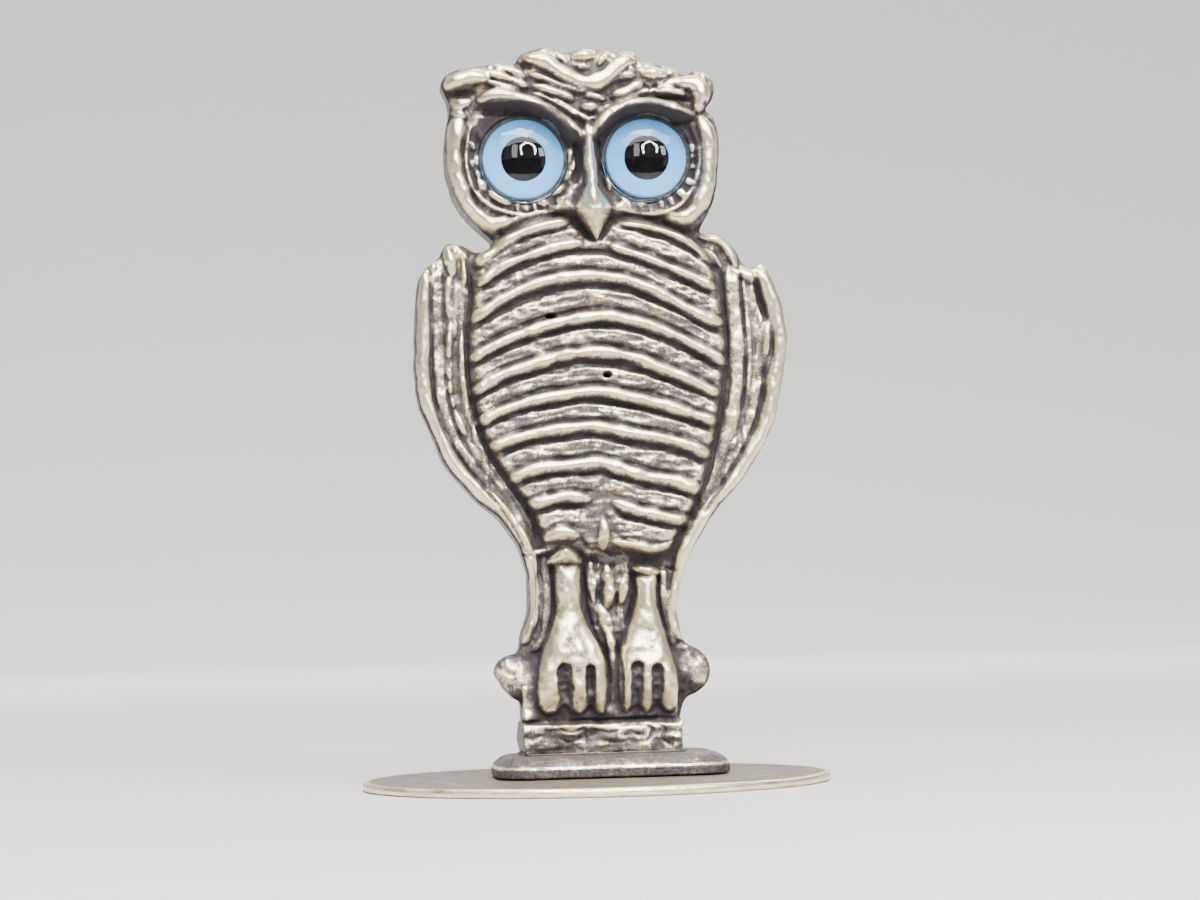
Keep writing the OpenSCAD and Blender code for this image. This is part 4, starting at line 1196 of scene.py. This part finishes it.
def make_foot():
    """The foot: an oblong with a soft slope round its top, its surface slightly uneven."""
    s = settings()
    low, high = size_mm("oblong_foot")
    wide, deep, tall = high - low
    around = 360
    corner = 3.6
    rng = np.random.default_rng(71)
    fine = smooth_line([(inset, height * tall / FOOT_PROFILE[-1][1]) for inset, height in FOOT_PROFILE], 4)
    rings, wear_and_shade = [], []
    for inset, height in fine:
        ring = oblong(wide - 2 * inset, deep - 2 * inset, max(corner - inset, 0.6), around)
        rings.append(np.column_stack([ring, np.full(around, height)]))
        # The top edge of the side is rubbed bright, and a painted shade darkens the side below it, under the
        # slope.
        edge = math.exp(-((height - 0.92) / 0.13) ** 2)
        side = 1 - step_between(height, 0.6, 0.84)
        wear_and_shade.append(np.full(around, 0.38 + 0.42 * edge - 0.12 * side))
    points = np.concatenate(rings)
    wear_and_shade = np.concatenate(wear_and_shade)
    angle = np.arctan2(points[:, 1], points[:, 0])
    bumps = np.zeros(len(points))
    for k in range(2, 40):
        size, turn = rng.normal(0, 0.04 / k**0.8), rng.uniform(0, 6.28)
        bumps += size * np.sin(k * angle + turn + 1.3 * points[:, 2])
    out = points[:, :2] / np.linalg.norm(points[:, :2], axis=1)[:, None]
    points[:, :2] -= out * np.abs(bumps)[:, None]
    points[:, 2] = np.clip(points[:, 2] + 0.25 * bumps * (points[:, 2] > 0.3), 0, tall)
    last = (len(fine) - 1) * around
    faces = bands(len(fine), around) + [range(around - 1, -1, -1), range(last, last + around)]
    points = (points + [*(low + high)[:2] / 2, low[2]]) * MM
    material = pewter("Foot Pewter", s.bright, times(s.middle, 1.1), s.patina, speckle=0.8, scratches=0.7)
    mesh = new_mesh("foot_plate", points, faces)
    finish_piece("foot_plate", mesh, material, ["oblong_foot"], wear_and_shade)


def make_base():
    """The base: a thin disc with a softened edge that isn't quite flat."""
    s = settings()
    low, high = size_mm("round_base")
    radius, tall = (high[0] - low[0]) / 2, high[2] - low[2]
    soft = 0.36
    profile = [(r, 0.0) for r in np.linspace(0.5, radius - soft, 24)]
    profile += arc_points((radius - soft, soft), soft, -90, 0, 6)[1:]
    profile += arc_points((radius - soft, tall - soft), soft, 0, 90, 6)
    profile += [(r, tall) for r in np.linspace(radius - soft, 0.5, 48)[1:]]
    points, faces = lathe(profile, 360)
    r = np.hypot(points[:, 0], points[:, 1])
    a = np.arctan2(points[:, 1], points[:, 0])
    wave = 0.05 * np.sin(2 * a + 0.6) + 0.03 * np.sin(5 * a + 2) * (r / radius)
    points[:, 2] -= np.where(points[:, 2] > 0.5, np.abs(wave) * (r / radius) ** 2, 0)
    shrink = 1 - 0.0012 * (1 + np.sin(3 * a + 1)) - 0.0006 * (1 + np.sin(11 * a))
    points[:, :2] *= shrink[:, None]
    edge = np.exp(-((r - radius + 0.12) / 0.35) ** 2)
    wear_and_shade = 0.38 + 0.55 * edge - 0.1 * (points[:, 2] < 0.05)
    material = pewter("Base Pewter", s.bright, times(s.middle, 1.25, 1.15, 0.90), times(s.patina, 2),
                      speckle=0.2, scratches=0.55, bump=0.00003)
    mesh = new_mesh("base_disc", points * MM, faces)
    finish_piece("base_disc", mesh, material, ["round_base"], wear_and_shade)


def bead(ring, height, radius, seed):
    """A lumpy bead of solder run round a closed line, flattened underneath."""
    count, sides = len(ring), 12
    rng = np.random.default_rng(seed)
    turn = np.linspace(0, 2 * math.pi, count, endpoint=False)
    fat = np.ones(count)
    for k in range(3, 60):
        fat += rng.normal(0, 0.5 / k**0.75) * np.sin(k * turn + rng.uniform(0, 6.28)) * 0.5
    fat = radius * np.clip(fat, 0.35, 1.6)
    ahead = np.roll(ring, -1, 0) - np.roll(ring, 1, 0)
    out = np.column_stack([ahead[:, 1], -ahead[:, 0]]) / np.linalg.norm(ahead, axis=1)[:, None]
    points = []
    for i in range(count):
        for k in range(sides):
            a = 2 * math.pi * k / sides
            x, y = ring[i] + out[i] * fat[i] * math.cos(a)
            points.append((x, y, height + max(fat[i] * math.sin(a), 0.0)))
    return np.array(points), [face[::-1] for face in bands(count, sides, closed=True)]


def make_solder():
    """The beads of solder that show round both joints."""
    s = settings()
    material = pewter("Solder", times(s.bright, 0.6), times(s.middle, 0.5), s.patina, speckle=0.5,
                      bump=0.00008)
    for name, node, corner, radius, margin in (("foot_solder_bead", "foot_solder", 0.5, 0.2, 0.1),
                                               ("base_solder_bead", "base_solder", 3.0, 0.24, -0.42)):
        low, high = size_mm(node)
        wide, deep, _ = high - low - 2 * margin
        ring = oblong(wide, deep, corner, 600) + middle_mm(node)[:2]
        points, faces = bead(ring, low[2], radius, 80 + len(name))
        wear_and_shade = 0.3 + 0.25 * (points[:, 2] - low[2]) / radius
        finish_piece(name, new_mesh(name, points * MM, faces), material, [node], wear_and_shade)


# ---------------------------------------------------------------- stage


def make_floor():
    """A pale floor that curves up into a backdrop all round."""
    s = settings()
    profile = [(r, 0.0) for r in (0.02, 0.2, 0.45, 0.7)]
    profile += arc_points((0.7, 0.9), 0.9, -90, 0, 24)[1:]
    profile += [(1.6, 1.6)]
    around = 128
    points = turned(profile, around)
    floor = new_object("floor", new_mesh("floor", points, bands(len(profile), around) + [range(around)]))
    floor.data.shade_smooth()
    material, n, out = bare_material("Floor")
    cloth = n.noise(n.place(), 0.15, 4, 0.6)
    shader = n.add("ShaderNodeBsdfPrincipled", {
        "Base Color": n.blend(cloth, (*times(s.floor, 0.96), 1), (*s.floor, 1)), "Roughness": 0.9})
    n.feed(out, {"Surface": shader.outputs[0]})
    floor.data.materials.append(material)


def aim(thing, place, target, axis):
    """Puts a thing at its place with one of its axes towards the target."""
    thing.location = place
    thing.rotation_euler = (Vector(target) - Vector(place)).to_track_quat(axis, "Y").to_euler()


def lamp(name, place, target, wide, tall, power, colour):
    light = bpy.data.lights.new(name, "AREA")
    light.shape = "RECTANGLE"
    light.size, light.size_y = wide, tall
    light.energy = power
    light.color = colour
    aim(new_object(name, light), place, target, "-Z")


def glowing_arch(name, place, target, inner, outer, strength):
    """A lamp shaped like an arch, open at the bottom, facing a target."""
    count = 48
    points = [(x, y, 0) for r in (inner, outer) for x, y in arc_points((0, 0), r, -35, 215, count)]
    mesh = new_mesh(name, points, [(k, count + k, count + k + 1, k + 1) for k in range(count - 1)])
    arch = new_object(name, mesh)
    aim(arch, place, target, "Z")
    material, n, out = bare_material("Arch Lamp")
    glow = n.add("ShaderNodeEmission", {"Color": (1.0, 0.98, 0.95, 1), "Strength": strength})
    n.feed(out, {"Surface": glow.outputs[0]})
    mesh.materials.append(material)


def dark_card(name, middle, wide, near, far, tall):
    """A dark card on the floor that stands up behind the camera, seen only in the metal and glass."""
    left, right = middle - wide / 2, middle + wide / 2
    points = [(x, y, z) for y, z in ((-near, 0.0005), (-far, 0.0005), (-far, tall)) for x in (left, right)]
    mesh = new_mesh(name, points, [(0, 1, 3, 2), (2, 3, 5, 4)])
    card = new_object(name, mesh)
    card.visible_camera = card.visible_diffuse = card.visible_shadow = False
    material, n, out = bare_material("Black Card")
    shader = n.add("ShaderNodeBsdfDiffuse", {"Color": (0.01, 0.01, 0.01, 1)})
    n.feed(out, {"Surface": shader.outputs[0]})
    mesh.materials.append(material)


def make_lights():
    s = settings()
    eyes, body = (0, 0, 0.056), (0, 0, 0.04)
    white, soft = (1.0, 1.0, 1.0), (1.0, 0.98, 0.95)
    lamp("overhead", (-0.05, -0.10, 0.60), body, 0.50, 0.34, s.lamp, (1.0, 0.97, 0.92))
    lamp("front", (0.05, -0.37, 0.64), (0, 0, 0.05), 1.30, 0.32, s.lamp * 0.85, soft)
    lamp("left", (-0.115, -0.344, 0.225), eyes, 0.08, 0.19, s.lamp * 0.04, white)
    lamp("right", (0.243, -0.280, 0.205), eyes, 0.07, 0.115, s.lamp * 0.04, white)
    lamp("behind", (0.2, 0.5, 0.45), body, 0.4, 0.3, s.lamp * 0.25, soft)
    lamp("backdrop", (0, 0.35, 0.55), (0, 1.4, 0.25), 0.6, 0.3, s.lamp * 2.2, white)
    glowing_arch("arch_lamp", (0.062, -0.306, 0.215), eyes, 0.080, 0.104, s.arch)
    dark_card("card", middle=-0.036, wide=0.6, near=0.13, far=0.33, tall=0.115)
    world = bpy.data.worlds.new("studio")
    world.use_nodes = True
    sky = world.node_tree.nodes["Background"]
    sky.inputs["Color"].default_value = (0.97, 0.98, 1.0, 1)
    sky.inputs["Strength"].default_value = 0.45
    bpy.context.scene.world = world


def make_camera():
    s = settings()
    focus = Vector((0.00103, 0, 0.0303))
    place = focus + Vector((-math.sin(s.view_turn), -math.cos(s.view_turn), 0)) * s.view_distance
    place.z = s.view_height
    data = bpy.data.cameras.new("camera")
    data.lens = 99.0
    data.sensor_width = 36.0
    data.clip_start = 0.01
    camera = new_object("camera", data)
    look = (focus - place).to_track_quat("-Z", "Y").to_matrix().to_4x4()
    camera.matrix_world = Matrix.Translation(place) @ look @ Matrix.Rotation(-s.view_roll, 4, "Z")
    bpy.context.scene.camera = camera


# ---------------------------------------------------------------- operators


class OWL_OT_casting(bpy.types.Operator):
    """Sculpt the owl, its perch and block as one casting"""
    bl_idname = "owl.casting"
    bl_label = "Cast the Owl"

    def execute(self, context):
        make_casting()
        return {"FINISHED"}


class OWL_OT_eyes(bpy.types.Operator):
    """Make both glass eyes, with their paint and cement"""
    bl_idname = "owl.eyes"
    bl_label = "Set the Eyes"

    def execute(self, context):
        make_eyes()
        return {"FINISHED"}


class OWL_OT_foot(bpy.types.Operator):
    """Make the oblong foot"""
    bl_idname = "owl.foot"
    bl_label = "Shape the Foot"

    def execute(self, context):
        make_foot()
        return {"FINISHED"}


class OWL_OT_base(bpy.types.Operator):
    """Make the thin round base"""
    bl_idname = "owl.base"
    bl_label = "Turn the Base"

    def execute(self, context):
        make_base()
        return {"FINISHED"}


class OWL_OT_solder(bpy.types.Operator):
    """Run the solder round both joints"""
    bl_idname = "owl.solder"
    bl_label = "Run the Solder"

    def execute(self, context):
        make_solder()
        return {"FINISHED"}


class OWL_OT_stage(bpy.types.Operator):
    """Set out the floor, lamps and camera"""
    bl_idname = "owl.stage"
    bl_label = "Set the Stage"

    def execute(self, context):
        make_floor()
        make_lights()
        make_camera()
        return {"FINISHED"}


class OWL_PT_panel(bpy.types.Panel):
    """The owl's pieces and settings"""
    bl_label = "Cast Owl"
    bl_idname = "OWL_PT_panel"
    bl_space_type = "VIEW_3D"
    bl_region_type = "UI"
    bl_category = "Owl"

    def draw(self, context):
        for operator in OPERATORS:
            self.layout.operator(operator.bl_idname)
        for name in OwlSettings.__annotations__:
            self.layout.prop(context.scene.owl, name)


OPERATORS = (OWL_OT_casting, OWL_OT_eyes, OWL_OT_foot, OWL_OT_base, OWL_OT_solder, OWL_OT_stage)
CLASSES = (OwlSettings,) + OPERATORS + (OWL_PT_panel,)


def register():
    for cls in CLASSES:
        bpy.utils.register_class(cls)
    bpy.types.Scene.owl = PointerProperty(type=OwlSettings)


def unregister():
    del bpy.types.Scene.owl
    for cls in reversed(CLASSES):
        bpy.utils.unregister_class(cls)


def main():
    register()
    for operator in (bpy.ops.owl.casting, bpy.ops.owl.eyes, bpy.ops.owl.foot, bpy.ops.owl.base,
                     bpy.ops.owl.solder, bpy.ops.owl.stage):
        operator()


if __name__ == "__main__":
    main()
